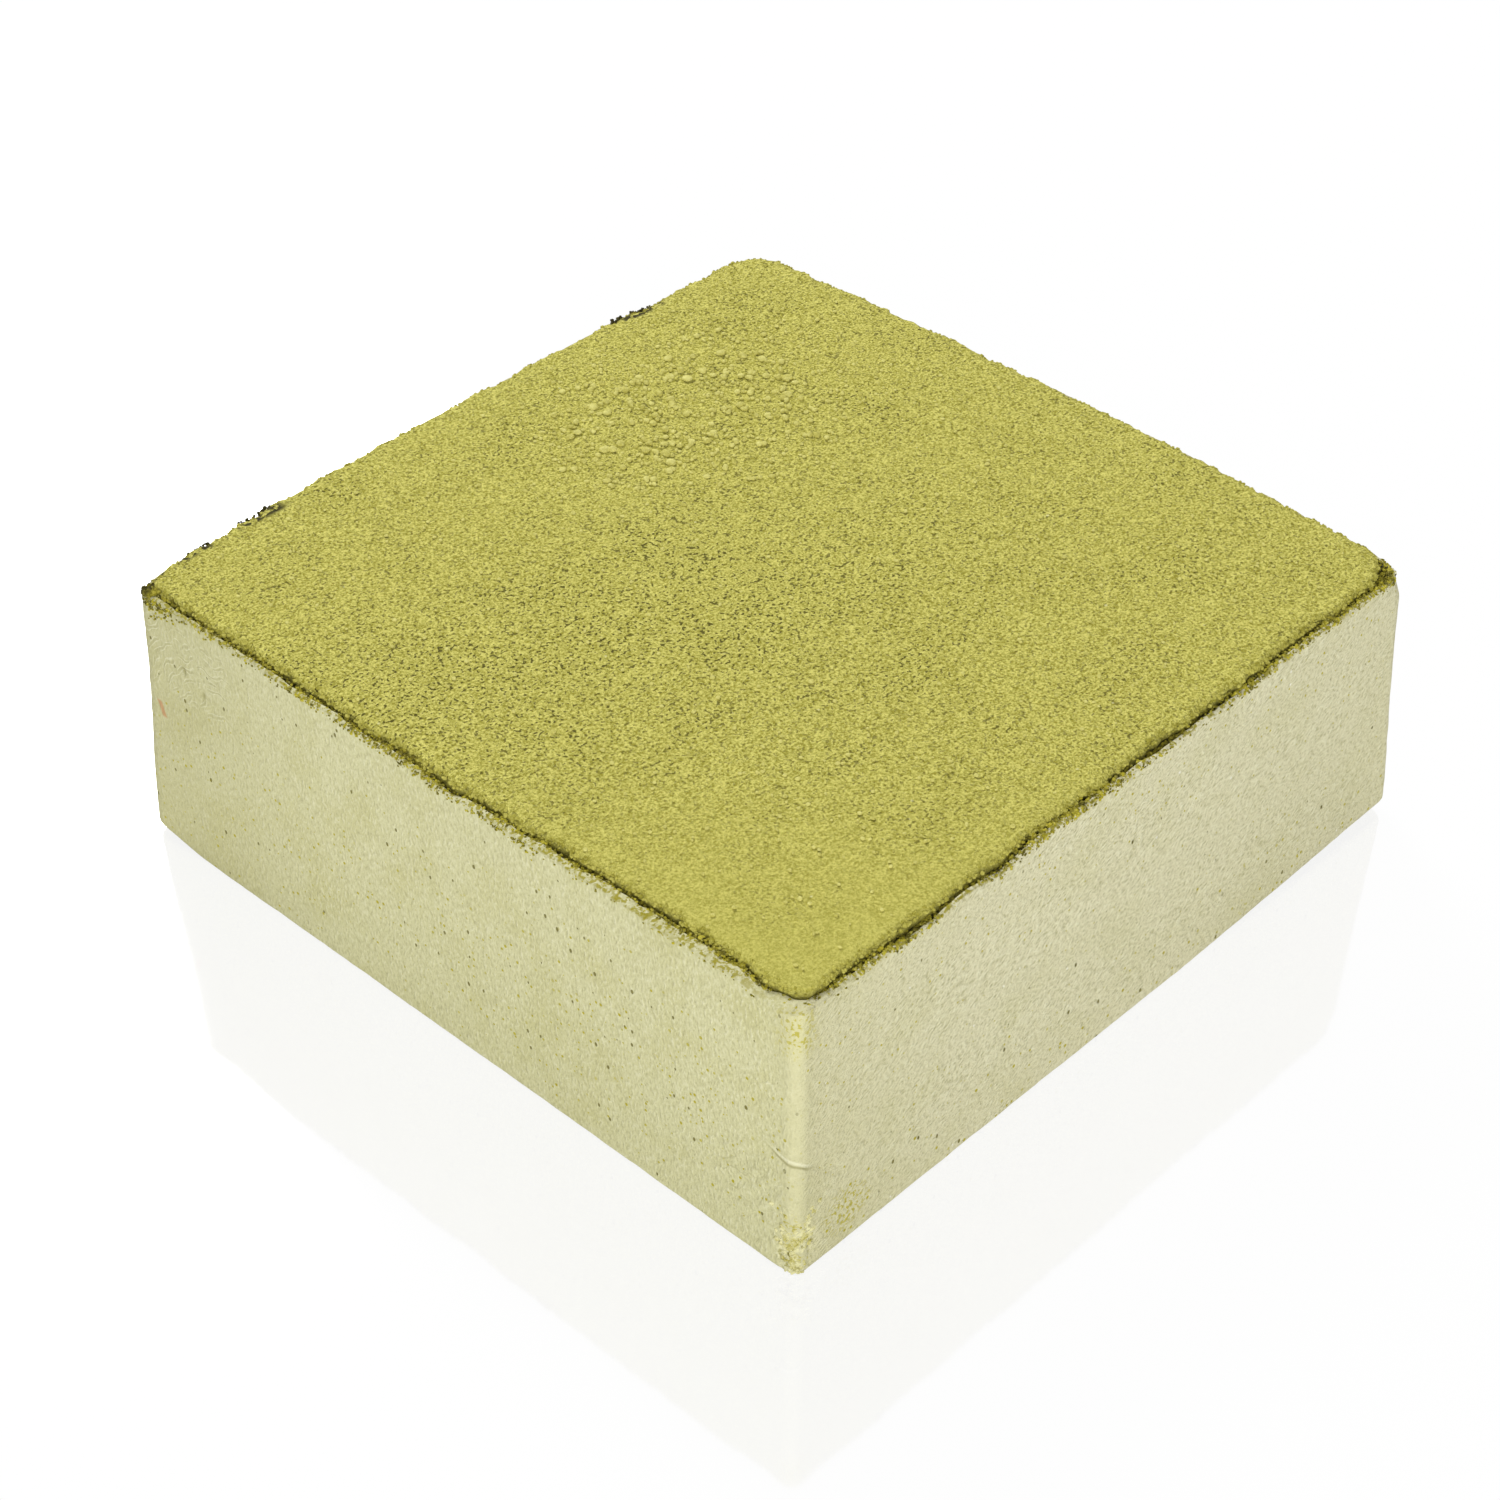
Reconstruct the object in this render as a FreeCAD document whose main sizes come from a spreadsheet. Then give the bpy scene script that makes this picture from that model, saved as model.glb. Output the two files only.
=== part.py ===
"""Square block of tinted charcoal, standing on its base.

A dark core of pressed pigment is wrapped in the pale skin that its mould left: a base skin below
and a side skin round the four sides. A powdery drawing face lies on the core. An open seam runs
between the face and the side skin, whose lip is nicked, and grains and crumbs of pigment lie in
the seam and on the face.

Millimetres, +Z up. The origin is the centre of the resting face. Front is -Y and left is -X.
The front and left sides are straight. The right and back sides bow outwards. All four lean in,
so that the block leaves its mould.
"""
import FreeCAD, Part

import math
import os
import random

import Sketcher
from FreeCAD import Vector

SIZES = [
    # alias, number, what it is
    ("side_length", 70.0, "length and width of the block at its foot"),
    ("block_height", 24.3, "height of the drawing face"),
    ("draft_angle", 1.25, "lean of the four sides, in degrees"),
    ("bow_right", 1.15, "how far the right side bows outwards"),
    ("bow_back", 0.8, "how far the back side bows outwards"),
    ("skin_thickness", 0.4, "wall of the side skin"),
    ("base_thickness", 0.6, "wall of the base skin"),
    ("face_thickness", 1.1, "depth of the powdery drawing face"),
    ("seam_gap", 0.5, "width of the open seam"),
    ("lip_drop", 0.35, "how far the side skin's lip lies below the drawing face"),
    ("radius_front_left", 1.5, "upright corner of the block"),
    ("radius_front_right", 1.1, "upright corner of the block"),
    ("radius_back_right", 2.9, "upright corner of the block"),
    ("radius_back_left", 1.5, "upright corner of the block"),
    ("face_radius_front_left", 1.0, "upright corner of the drawing face"),
    ("face_radius_front_right", 3.0, "upright corner of the drawing face"),
    ("face_radius_back_right", 2.6, "upright corner of the drawing face"),
    ("face_radius_back_left", 1.3, "upright corner of the drawing face"),
    ("foot_rounding", 0.35, "edge round the resting face"),
    ("lip_rounding", 0.2, "outer edge of the side skin's lip"),
    ("face_rounding", 0.5, "edge round the drawing face"),
    ("nick_count", 4, "nicks in the lip of each side"),
    ("nick_radius", 5.0, "hollow of a nick, seen from the side"),
    ("nick_depth", 0.3, "deepest nick"),
    ("bite_radius", 1.3, "hollow of the largest bite out of the back rim"),
    ("bite_floor", 0.1, "height of a bite's floor above the core"),
    ("chip_radius", 3.0, "hollow of the broken foot corner"),
    ("chip_depth", 0.8, "how deep the foot corner is broken, along each axis"),
    ("crumb_count", 40, "crumbs on the drawing face"),
    ("crumb_width", 1.0, "widest crumb"),
    ("crumb_height", 0.55, "tallest crumb"),
    ("grain_pitch", 3.2, "mean distance between two grains in the seam"),
    ("grain_clearance", 0.08, "gap between the widest grain and the seam's walls"),
    ("grain_height", 0.6, "tallest grain"),
]
CORNERS = {  # corner: sign of x, sign of y
    "front_left": (-1, -1),
    "front_right": (1, -1),
    "back_right": (1, 1),
    "back_left": (-1, 1),
}
SIDES = ("front", "right", "back", "left")
TOLERANCE = 1e-4  # of comparisons between levels

# Levels and insets that several pieces share, as expressions on the sheet.
CORE_TOP = "Sizes.block_height - Sizes.face_thickness"
LIP_TOP = "Sizes.block_height - Sizes.lip_drop"
FACE_INSET = f"Sizes.skin_thickness + Sizes.seam_gap + ({CORE_TOP}) * tan(Sizes.draft_angle)"

doc = FreeCAD.newDocument("charcoal_block")
sheet = doc.addObject("Spreadsheet::Sheet", "Sizes")
for row, (alias, number, note) in enumerate(SIZES, start=1):
    sheet.set(f"A{row}", note)
    sheet.set(f"B{row}", str(number))
    sheet.setAlias(f"B{row}", alias)
doc.recompute()


def size(alias):
    """The sheet's value of one size."""
    return float(getattr(sheet, alias))


def value_of(expression):
    """The value of an expression on the sheet's sizes."""
    found = sheet.evalExpression(expression)
    return float(getattr(found, "Value", found))


# ---- the outline, drafted ----------------------------------------------------------------------
def outline_sketch(body, name, inset, level, radii):
    """The block's outline at one level, moved in all round by an inset, with rounded corners.

    The pieces run counter-clockwise: front side, front right corner, right side and so on. A
    bowed side is an arc whose ends stand back by its bow, so that its middle reaches as far out
    as a straight side does.
    """
    sketch = body.newObject("Sketcher::SketchObject", name)
    plane = next(item for item in body.Origin.OriginFeatures if item.Role == "XY_Plane")
    sketch.AttachmentSupport = [(plane, "")]
    sketch.MapMode = "FlatFace"
    sketch.setExpression("AttachmentOffset.Base.z", level)

    reach = f"Sizes.side_length / 2 - ({inset})"
    half_right = f"({reach} - Sizes.bow_back / 2)"
    half_back = f"({reach} - Sizes.bow_right / 2)"
    curve_right = f"({half_right}^2 + Sizes.bow_right^2) / (2 * Sizes.bow_right)"
    curve_back = f"({half_back}^2 + Sizes.bow_back^2) / (2 * Sizes.bow_back)"

    far = value_of(reach)
    right = far - size("bow_right")
    back = far - size("bow_back")
    sharp = {"front_left": (-far, -far), "front_right": (right, -far)}
    sharp |= {"back_right": (right, back), "back_left": (-far, back)}

    def corner_arc(corner, start_angle):
        radius = value_of(radii[corner])
        signs = CORNERS[corner]
        middle = Vector(*(at - sign * radius for at, sign in zip(sharp[corner], signs)), 0)
        circle = Part.Circle(middle, Vector(0, 0, 1), radius)
        return Part.ArcOfCircle(circle, math.radians(start_angle), math.radians(start_angle + 90))

    sketch.addGeometry([
        Part.LineSegment(Vector(*sharp["front_left"], 0), Vector(*sharp["front_right"], 0)),
        corner_arc("front_right", 270),
        Part.Arc(Vector(right, -far, 0), Vector(far, (back - far) / 2, 0), Vector(right, back, 0)),
        corner_arc("back_right", 0),
        Part.Arc(Vector(right, back, 0), Vector((right - far) / 2, far, 0), Vector(-far, back, 0)),
        corner_arc("back_left", 90),
        Part.LineSegment(Vector(*sharp["back_left"], 0), Vector(*sharp["front_left"], 0)),
        corner_arc("front_left", 180),
    ])
    front_side, right_side, back_side, left_side = 0, 2, 4, 6
    front_right, back_right, back_left, front_left = 1, 3, 5, 7
    start, end, middle = 1, 2, 3
    origin = (-1, 1)
    for one in range(8):
        following = (one + 1) % 8
        sketch.addConstraint(Sketcher.Constraint("Tangent", one, end, following, start))
    sketch.addConstraint(Sketcher.Constraint("Horizontal", front_side))
    sketch.addConstraint(Sketcher.Constraint("Vertical", left_side))
    for label, kind, places, expression in [
        ("left", "DistanceX", (left_side, start, *origin), reach),
        ("front", "DistanceY", (front_side, start, *origin), reach),
        ("curve_right", "Radius", (right_side,), curve_right),
        ("right_middle_x", "DistanceX", (right_side, middle, *origin), f"{curve_right} - ({reach})"),
        ("right_middle_y", "DistanceY", (right_side, middle, *origin), "Sizes.bow_back / 2"),
        ("curve_back", "Radius", (back_side,), curve_back),
        ("back_middle_y", "DistanceY", (back_side, middle, *origin), f"{curve_back} - ({reach})"),
        ("back_middle_x", "DistanceX", (back_side, middle, *origin), "Sizes.bow_right / 2"),
        ("front_right", "Radius", (front_right,), radii["front_right"]),
        ("back_right", "Radius", (back_right,), radii["back_right"]),
        ("back_left", "Radius", (back_left,), radii["back_left"]),
        ("front_left", "Radius", (front_left,), radii["front_left"]),
    ]:
        index = sketch.addConstraint(Sketcher.Constraint(kind, *places, value_of(expression)))
        sketch.renameConstraint(index, label)
        sketch.setExpression(f"Constraints.{label}", expression)
    return sketch


def edges_at(shape, level):
    """The names of the edges that lie flat at one level."""
    return [
        f"Edge{number}"
        for number, edge in enumerate(shape.Edges, start=1)
        if all(math.isclose(vertex.Z, level, abs_tol=TOLERANCE) for vertex in edge.Vertexes)
    ]


def round_edge(body, name, level, radius):
    """Rounds the edge that runs round a body at one level."""
    base = body.Tip
    fillet = body.newObject("PartDesign::Fillet", name)
    fillet.Base = (base, edges_at(base.Shape, value_of(level)))
    fillet.setExpression("Radius", radius)
    doc.recompute()


def drafted_block(name, inset, low, high, radii):
    """A body that fills the inset outline from one level to another and leans in as it rises."""
    body = doc.addObject("PartDesign::Body", name)
    outline = outline_sketch(body, f"{name}_outline", inset, low, radii)
    pad = body.newObject("PartDesign::Pad", f"{name}_pad")
    pad.Profile = outline
    pad.setExpression("Length", f"({high}) - ({low})")
    doc.recompute()
    foot = next(
        f"Face{number}"
        for number, face in enumerate(pad.Shape.Faces, start=1)
        if face.normalAt(0, 0).z < -0.5
    )
    walls = [
        f"Face{number}"
        for number, face in enumerate(pad.Shape.Faces, start=1)
        if abs(face.normalAt(0, 0).z) < 0.5
    ]
    draft = body.newObject("PartDesign::Draft", f"{name}_draft")
    draft.Base = (pad, walls)
    draft.NeutralPlane = (pad, [foot])
    draft.setExpression("Angle", "Sizes.draft_angle")
    doc.recompute()
    if draft.Shape.Volume >= pad.Shape.Volume:
        raise RuntimeError(f"{name} leans outwards")
    return body


def slab(name, low, high):
    """A box wider than the block, between two levels."""
    box = doc.addObject("Part::Box", name)
    box.setExpression("Length", "2 * Sizes.side_length")
    box.setExpression("Width", "2 * Sizes.side_length")
    box.setExpression("Height", f"({high}) - ({low})")
    box.setExpression("Placement.Base.x", "-Sizes.side_length")
    box.setExpression("Placement.Base.y", "-Sizes.side_length")
    box.setExpression("Placement.Base.z", low)
    return box


def combined(kind, name, base, tool):
    """A boolean of two objects: Cut or Common."""
    made = doc.addObject(f"Part::{kind}", name)
    made.Base = base
    made.Tool = tool
    return made


# ---- the mould's inside, and the inside of its skin ---------------------------------------------
mould_form = drafted_block(
    "mould_form", "0", "0", LIP_TOP, {corner: f"Sizes.radius_{corner}" for corner in CORNERS}
)
round_edge(mould_form, "foot_edge", "0", "Sizes.foot_rounding")
round_edge(mould_form, "lip_edge", LIP_TOP, "Sizes.lip_rounding")

skin_inside = drafted_block(
    "skin_inside",
    "Sizes.skin_thickness",
    "0",
    "Sizes.block_height",
    {corner: f"Sizes.radius_{corner} - Sizes.skin_thickness" for corner in CORNERS},
)


# ---- the broken foot corner, front left ---------------------------------------------------------
def foot_chip():
    """A sphere whose deepest point lies inside the sharp foot corner by the chip's depth."""
    sphere = doc.addObject("Part::Sphere", "foot_chip")
    sphere.setExpression("Radius", "Sizes.chip_radius")
    outside = "Sizes.chip_radius / sqrt(3) - Sizes.chip_depth"
    sphere.setExpression("Placement.Base.x", f"-Sizes.side_length / 2 - ({outside})")
    sphere.setExpression("Placement.Base.y", f"-Sizes.side_length / 2 - ({outside})")
    sphere.setExpression("Placement.Base.z", f"-({outside})")
    return sphere


# ---- nicks along the lip ------------------------------------------------------------------------
def lip_nicks():
    """Round hollows across the lip: a row on each side, unevenly placed and unevenly deep."""
    count = int(size("nick_count"))
    margin = 0.08  # share of a side that stays whole at each corner
    draws = random.Random(3)
    rods = []
    for side, name in enumerate(SIDES):
        for number in range(count):
            along = margin + (1 - 2 * margin) * (number + draws.random()) / count - 0.5
            share = draws.uniform(0.3, 1.0)
            rod = doc.addObject("Part::Cylinder", f"nick_{name}_{number + 1}")
            rod.setExpression("Radius", "Sizes.nick_radius")
            rod.setExpression("Height", "Sizes.side_length")
            turned = FreeCAD.Rotation(Vector(0, 0, 1), 90 * side)
            rod.Placement.Rotation = turned * FreeCAD.Rotation(Vector(1, 0, 0), 90)
            place = turned.multVec(Vector(along, 0, 0))
            rod.setExpression("Placement.Base.x", f"Sizes.side_length * {place.x:.4f}")
            rod.setExpression("Placement.Base.y", f"Sizes.side_length * {place.y:.4f}")
            rise = f"{LIP_TOP} + Sizes.nick_radius - {share:.3f} * Sizes.nick_depth"
            rod.setExpression("Placement.Base.z", rise)
            rods.append(rod)
    group = doc.addObject("Part::Compound", "lip_nicks")
    group.Links = rods
    return group


# ---- bites out of the back rim ------------------------------------------------------------------
def rim_bites():
    """Round hollows that take the back lip and the face's edge away, down to above the core."""
    hollows = []
    for number, (along, share) in enumerate([(-0.37, 1.0), (-0.32, 0.75), (0.29, 0.9)], start=1):
        hollow = doc.addObject("Part::Sphere", f"bite_{number}")
        hollow.setExpression("Radius", f"{share} * Sizes.bite_radius")
        hollow.setExpression("Placement.Base.x", f"{along} * Sizes.side_length")
        to_lip = f"({LIP_TOP}) * tan(Sizes.draft_angle) + {4 * along ** 2:.3f} * Sizes.bow_back"
        hollow.setExpression("Placement.Base.y", f"Sizes.side_length / 2 - ({to_lip})")
        rise = f"{CORE_TOP} + Sizes.bite_floor + {share} * Sizes.bite_radius"
        hollow.setExpression("Placement.Base.z", rise)
        hollows.append(hollow)
    group = doc.addObject("Part::Compound", "rim_bites")
    group.Links = hollows
    return group


chip = foot_chip()
bites = rim_bites()
above_base = slab("above_base", "Sizes.base_thickness", "2 * Sizes.block_height")
base_level = slab("base_level", "-Sizes.base_thickness", "Sizes.base_thickness")
core_level = slab("core_level", "Sizes.base_thickness", CORE_TOP)

# ---- the pieces ---------------------------------------------------------------------------------
base_whole = combined("Common", "base_whole", mould_form, base_level)
base_skin = combined("Cut", "base_skin", base_whole, chip)

core_whole = combined("Common", "core_whole", skin_inside, core_level)
core_block = combined("Cut", "core_block", core_whole, chip)

skin_whole = combined("Cut", "skin_whole", mould_form, skin_inside)
skin_above_base = combined("Common", "skin_above_base", skin_whole, above_base)
skin_chipped = combined("Cut", "skin_chipped", skin_above_base, chip)
skin_bitten = combined("Cut", "skin_bitten", skin_chipped, bites)
side_skin = combined("Cut", "side_skin", skin_bitten, lip_nicks())

face_whole = drafted_block(
    "face_whole",
    FACE_INSET,
    CORE_TOP,
    "Sizes.block_height",
    {corner: f"Sizes.face_radius_{corner}" for corner in CORNERS},
)
round_edge(face_whole, "face_edge", "Sizes.block_height", "Sizes.face_rounding")
face_layer = combined("Cut", "face_layer", face_whole, bites)
doc.recompute()


# ---- crumbs and grains --------------------------------------------------------------------------
def lump(place, width, height, draws):
    """A flat-bottomed angular crumb: a foot, a wider waist and a smaller top."""
    corner_count = 5
    turn = draws.uniform(0, math.tau)
    rings = []
    for level, spread in [(0.0, 0.8), (0.4, 1.0), (1.0, 0.5)]:
        ring = []
        for corner in range(corner_count):
            radius = width / 2 * spread * draws.uniform(0.75, 1.0)
            angle = turn + math.tau * corner / corner_count
            offset = Vector(radius * math.cos(angle), radius * math.sin(angle), height * level)
            ring.append(place + offset)
        rings.append(Part.makePolygon(ring + ring[:1]))
    return Part.makeLoft(rings, True, True)


def lumps_at(name, places, width, height, seed):
    """A group of separate crumbs, one on each place."""
    draws = random.Random(seed)
    shapes = []
    for place in places:
        share = draws.uniform(0.5, 1.0)
        shapes.append(lump(place, width * share, height * share, draws))
    group = doc.addObject("Part::Feature", name)
    group.Shape = Part.makeCompound(shapes)
    group.Placement = FreeCAD.Placement()
    return group


def face_crumb_places():
    """Places on the drawing face: most crumbs lie in a patch at the back, the rest anywhere."""
    draws = random.Random(11)
    margin = size("face_rounding") + size("crumb_width")
    near = size("side_length") / 2 - value_of(FACE_INSET) - margin
    right = near - size("bow_right")
    back = near - size("bow_back")
    patch_share = 0.75
    taken = []
    while len(taken) < int(size("crumb_count")):
        if len(taken) < patch_share * size("crumb_count"):
            x = draws.gauss(0.35, 0.25) * right
            y = draws.gauss(0.62, 0.17) * back
        else:
            x = draws.uniform(-near, right)
            y = draws.uniform(-near, back)
        place = Vector(x, y, size("block_height"))
        inside = -near < x < right and -near < y < back
        apart = all(place.distanceToPoint(other) > 1.5 * size("crumb_width") for other in taken)
        if inside and apart:
            taken.append(place)
    return taken


def seam_places():
    """Places along the middle of the seam's floor, unevenly spaced."""
    draws = random.Random(5)
    floor_level = value_of(CORE_TOP)
    floor = next(
        face
        for face in core_block.Shape.Faces
        if math.isclose(face.CenterOfMass.z, floor_level, abs_tol=TOLERANCE)
    )
    middle = Part.Face(floor.OuterWire).makeOffset2D(-size("seam_gap") / 2).Wires[0]
    fine = 8  # steps in one pitch
    steps = middle.discretize(Number=fine * int(middle.Length / size("grain_pitch")))
    return [
        steps[number * fine + draws.randrange(fine - 2)]
        for number in range(len(steps) // fine)
    ]


face_crumbs = lumps_at(
    "face_crumbs", face_crumb_places(), size("crumb_width"), size("crumb_height"), 17
)
grain_width = size("seam_gap") - 2 * size("grain_clearance")
rim_crumbs = lumps_at("rim_crumbs", seam_places(), grain_width, size("grain_height"), 23)

# ---- checks and files ---------------------------------------------------------------------------
pieces = [base_skin, side_skin, core_block, face_layer, face_crumbs, rim_crumbs]
doc.recompute()
for item in doc.Objects:
    if {"Invalid", "Error"} & set(item.State):
        raise RuntimeError(f"{item.Name} failed: {item.State}")
os.makedirs("parts", exist_ok=True)
for piece in pieces:
    if piece.Shape.isNull() or not piece.Shape.isValid():
        raise RuntimeError(f"{piece.Label} has no valid shape")
    piece.Shape.exportStep(f"parts/{piece.Label}.step")
    print(f"{piece.Label}: {len(piece.Shape.Solids)} solids, {piece.Shape.Volume:.1f} mm3")
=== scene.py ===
# %% [markdown]
# # A block of tinted charcoal
#
# The block is pressed pigment. Its mould left a pale, smooth skin on the four sides and the base.
# The face that you draw with is bare powder. Between the face and the skin's lip runs an open,
# crumbly seam, through which the dark core shows.
#
# We load the measured model first. Everything that we build sits in its frame: metres, the
# origin under the middle of the block, and +Z up.

# %% Load the measured model
import math
import random

import bpy
import numpy as np
from mathutils import Matrix, Vector


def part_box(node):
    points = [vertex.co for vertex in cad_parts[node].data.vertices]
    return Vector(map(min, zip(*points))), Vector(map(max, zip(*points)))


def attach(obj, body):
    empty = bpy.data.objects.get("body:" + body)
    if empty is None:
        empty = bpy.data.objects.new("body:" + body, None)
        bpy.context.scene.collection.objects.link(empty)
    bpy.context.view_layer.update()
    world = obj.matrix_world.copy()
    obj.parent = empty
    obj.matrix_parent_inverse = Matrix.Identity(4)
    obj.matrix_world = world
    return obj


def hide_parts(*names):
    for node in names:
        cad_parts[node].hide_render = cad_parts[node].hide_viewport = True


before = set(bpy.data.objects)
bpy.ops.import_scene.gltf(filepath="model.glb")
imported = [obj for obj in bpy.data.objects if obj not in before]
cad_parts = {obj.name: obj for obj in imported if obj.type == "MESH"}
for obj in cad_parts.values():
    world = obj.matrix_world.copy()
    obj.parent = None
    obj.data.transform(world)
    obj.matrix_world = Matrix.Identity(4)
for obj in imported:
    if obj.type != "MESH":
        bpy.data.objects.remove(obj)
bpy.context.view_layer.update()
MM = 0.001

# %% [markdown]
# ## Levels that the pieces share
#
# The levels are those of the model's own pieces. The lean of the sides and the bow of two of
# them can't be read from a box, so they are written here once.

# %% Levels and outline
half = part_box("base_skin")[1].x
lip_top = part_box("side_skin")[1].z
core_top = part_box("core_block")[1].z
face_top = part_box("face_layer")[1].z
LEAN = math.tan(math.radians(1.25))
BOW_RIGHT = 1.15 * MM
BOW_BACK = 0.8 * MM
BOW_GONE = 0.85  # share of a bow that is gone at the foot of its near end
LIFT_RIGHT = 1.0 * MM  # of the worn foot, at the two corners that stand off the floor
LIFT_LEFT = 0.8 * MM
SKIN = 0.4 * MM
SEAM = 0.5 * MM
print("levels in mm:", [round(level / MM, 2) for level in (core_top, lip_top, face_top)])

# %% [markdown]
# ## Helpers for modelling
#
# An operator works on what is selected. So each step starts with nothing selected, and then
# picks edges or faces by their place.


# %% Helpers for modelling
def select_nothing():
    if bpy.context.object and bpy.context.object.mode != "OBJECT":
        bpy.ops.object.mode_set(mode="OBJECT")
    bpy.ops.object.select_all(action="DESELECT")


def make_active(piece):
    """Leaves edit mode and selects one piece alone."""
    select_nothing()
    piece.select_set(True)
    bpy.context.view_layer.objects.active = piece


def new_piece(name, add, **settings):
    """Adds a primitive and gives it a name."""
    select_nothing()
    add(**settings)
    piece = bpy.context.object
    piece.name = piece.data.name = name
    bpy.ops.object.transform_apply(location=True, rotation=True, scale=True)
    return piece


def select_where(piece, kind, test):
    """Opens a piece in edit mode and selects each EDGE or FACE whose corners pass a test."""
    make_active(piece)
    bpy.ops.object.mode_set(mode="EDIT")
    bpy.ops.mesh.select_mode(type=kind)
    bpy.ops.mesh.select_all(action="DESELECT")
    bpy.ops.object.mode_set(mode="OBJECT")
    corners = piece.data.vertices
    for item in piece.data.edges if kind == "EDGE" else piece.data.polygons:
        item.select = test([corners[index].co for index in item.vertices])
    bpy.ops.object.mode_set(mode="EDIT")


def extrude_edges(scale, rise):
    """Extrudes the selected loop, scales it about the block's axis and lifts it."""
    bpy.ops.mesh.extrude_region_move()
    bpy.ops.transform.resize(value=(scale, scale, 1), center_override=(0, 0, 0))
    bpy.ops.transform.translate(value=(0, 0, rise))


def points_of(piece):
    """The corners of a piece's mesh, as an array."""
    make_active(piece)
    flat = np.empty(len(piece.data.vertices) * 3)
    piece.data.vertices.foreach_get("co", flat)
    return flat.reshape(-1, 3)


def set_points(piece, points):
    piece.data.vertices.foreach_set("co", np.ascontiguousarray(points).ravel())
    piece.data.update()


def triangles(piece):
    return sum(len(face.vertices) - 2 for face in piece.data.polygons)


# %% [markdown]
# ## One smooth random number for every place
#
# Nothing on a pressed block is quite straight. This noise gives each place a random number that
# changes smoothly and is the same on every run, so an edge that two pieces share stays shared.


# %% Smooth random numbers
def cell_values(cells, seed):
    """A random number from 0 to 1 for each whole-numbered cell."""
    mixed = cells[:, 0] * 374761393 + cells[:, 1] * 668265263 + cells[:, 2] * 2246822519
    mixed = (mixed + seed * 1446651) & 0xFFFFFFFF
    mixed = ((mixed ^ (mixed >> 13)) * 1274126177) & 0xFFFFFFFF
    return ((mixed ^ (mixed >> 16)) & 0xFFFFFF) / 0xFFFFFF


def waves(points, width, seed=0, octaves=1):
    """Smooth noise from -1 to 1 whose bumps are about as wide as the given width."""
    total = np.zeros(len(points))
    for octave in range(octaves):
        scaled = points / width * 2**octave + 1000
        base = np.floor(scaled).astype(np.int64)
        part = scaled - base
        part = part * part * (3 - 2 * part)
        for corner in np.ndindex(2, 2, 2):
            share = np.prod(np.where(corner, part, 1 - part), axis=1)
            total += share * (2 * cell_values(base + corner, seed + 17 * octave) - 1) / 2**octave
    return total


def fade(values, start, end):
    """0 at start, 1 at end, and smooth between them."""
    share = np.clip((values - start) / (end - start), 0, 1)
    return share * share * (3 - 2 * share)


print("three noise values:", waves(np.array([[0, 0, 0], [1, 2, 3], [4, 4, 4]]) * MM, 0.7 * MM).round(2))

# %% [markdown]
# ## The outline
#
# The four sides lean in as they rise. The right and back sides also bow outwards, so their
# corners stand back. Every piece is modelled square and upright, where edges are easy to pick,
# and then given the lean and the bows by the first two functions. The third lifts the worn foot.


# %% Lean and bow
def lean_in(points):
    """Narrows the block as it rises."""
    share = 1 - points[:, 2:] * LEAN / half
    return np.hstack([points[:, :2] * share, points[:, 2:]])


def bow_out(points):
    """Sets the ends of the right and back sides back, so that their middles bow out."""
    reach = half - points[:, 2] * LEAN
    across, along = points[:, 0] / reach, points[:, 1] / reach
    foot = BOW_GONE * (1 - fade(points[:, 2], 0, 20 * MM))
    bowed = points.copy()
    bowed[:, 0] -= BOW_RIGHT * (1 - foot * (along < 0)) * along**2 * (1 + across) / 2
    bowed[:, 1] -= BOW_BACK * (1 - foot * (across < 0)) * across**2 * (1 + along) / 2
    return bowed


def lift_foot(points):
    """Raises the foot a little at the front right and the back left corner, where it is worn."""
    x, y, z = points.T
    right = LIFT_RIGHT * fade(x, 6 * MM, 40 * MM) * (1 - fade(y, -35 * MM, -29 * MM))
    left = LIFT_LEFT * fade(y, 28 * MM, 36 * MM) * (1 - fade(x, -35 * MM, -29 * MM))
    lifted = points.copy()
    lifted[:, 2] += np.maximum(right, left) * (1 - fade(z, 0, 6 * MM))
    return lifted


# %% [markdown]
# ## The side skin
#
# The skin is what touched the mould: a thin pale wall round four sides, with a lip at the top.
# It could be a solid with four faces, but the real wall is pitted, creased and worn, so it
# needs a fine and even net of quads. We start from a cube, take its top and bottom away, round
# each upright edge by its own radius, and divide the walls.

# %% Walls of the side skin
FOOT_ROUND = 0.35 * MM
LIP_ROUND = 0.2 * MM
CORNER_RADII = {(-1, -1): 1.05 * MM, (1, -1): 1.1 * MM, (1, 1): 2.9 * MM, (-1, 1): 1.5 * MM}
wall_low, wall_high = FOOT_ROUND, lip_top - LIP_ROUND


def is_upright(corners):
    return abs(corners[0].z - corners[1].z) > MM


def round_uprights(piece, reach, smaller=0):
    """Bevels the four upright edges of a square block, each by its own radius."""
    for (x_sign, y_sign), radius in CORNER_RADII.items():
        select_where(
            piece,
            "EDGE",
            lambda corners: is_upright(corners)
            and all((c - Vector((x_sign * reach, y_sign * reach, c.z))).length < MM / 10 for c in corners),
        )
        bpy.ops.mesh.bevel(offset=radius - smaller, segments=5, affect="EDGES")


def divide_walls(piece, rounds, shortest, rows):
    """Cuts the long level edges in rounds, which makes strips, and then the strips into rows."""
    for cuts in rounds:
        select_where(
            piece,
            "EDGE",
            lambda corners: not is_upright(corners) and (corners[0] - corners[1]).length > shortest,
        )
        bpy.ops.mesh.subdivide(number_cuts=cuts)
    select_where(piece, "EDGE", is_upright)
    bpy.ops.mesh.subdivide(number_cuts=rows)
    bpy.ops.object.mode_set(mode="OBJECT")


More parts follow.
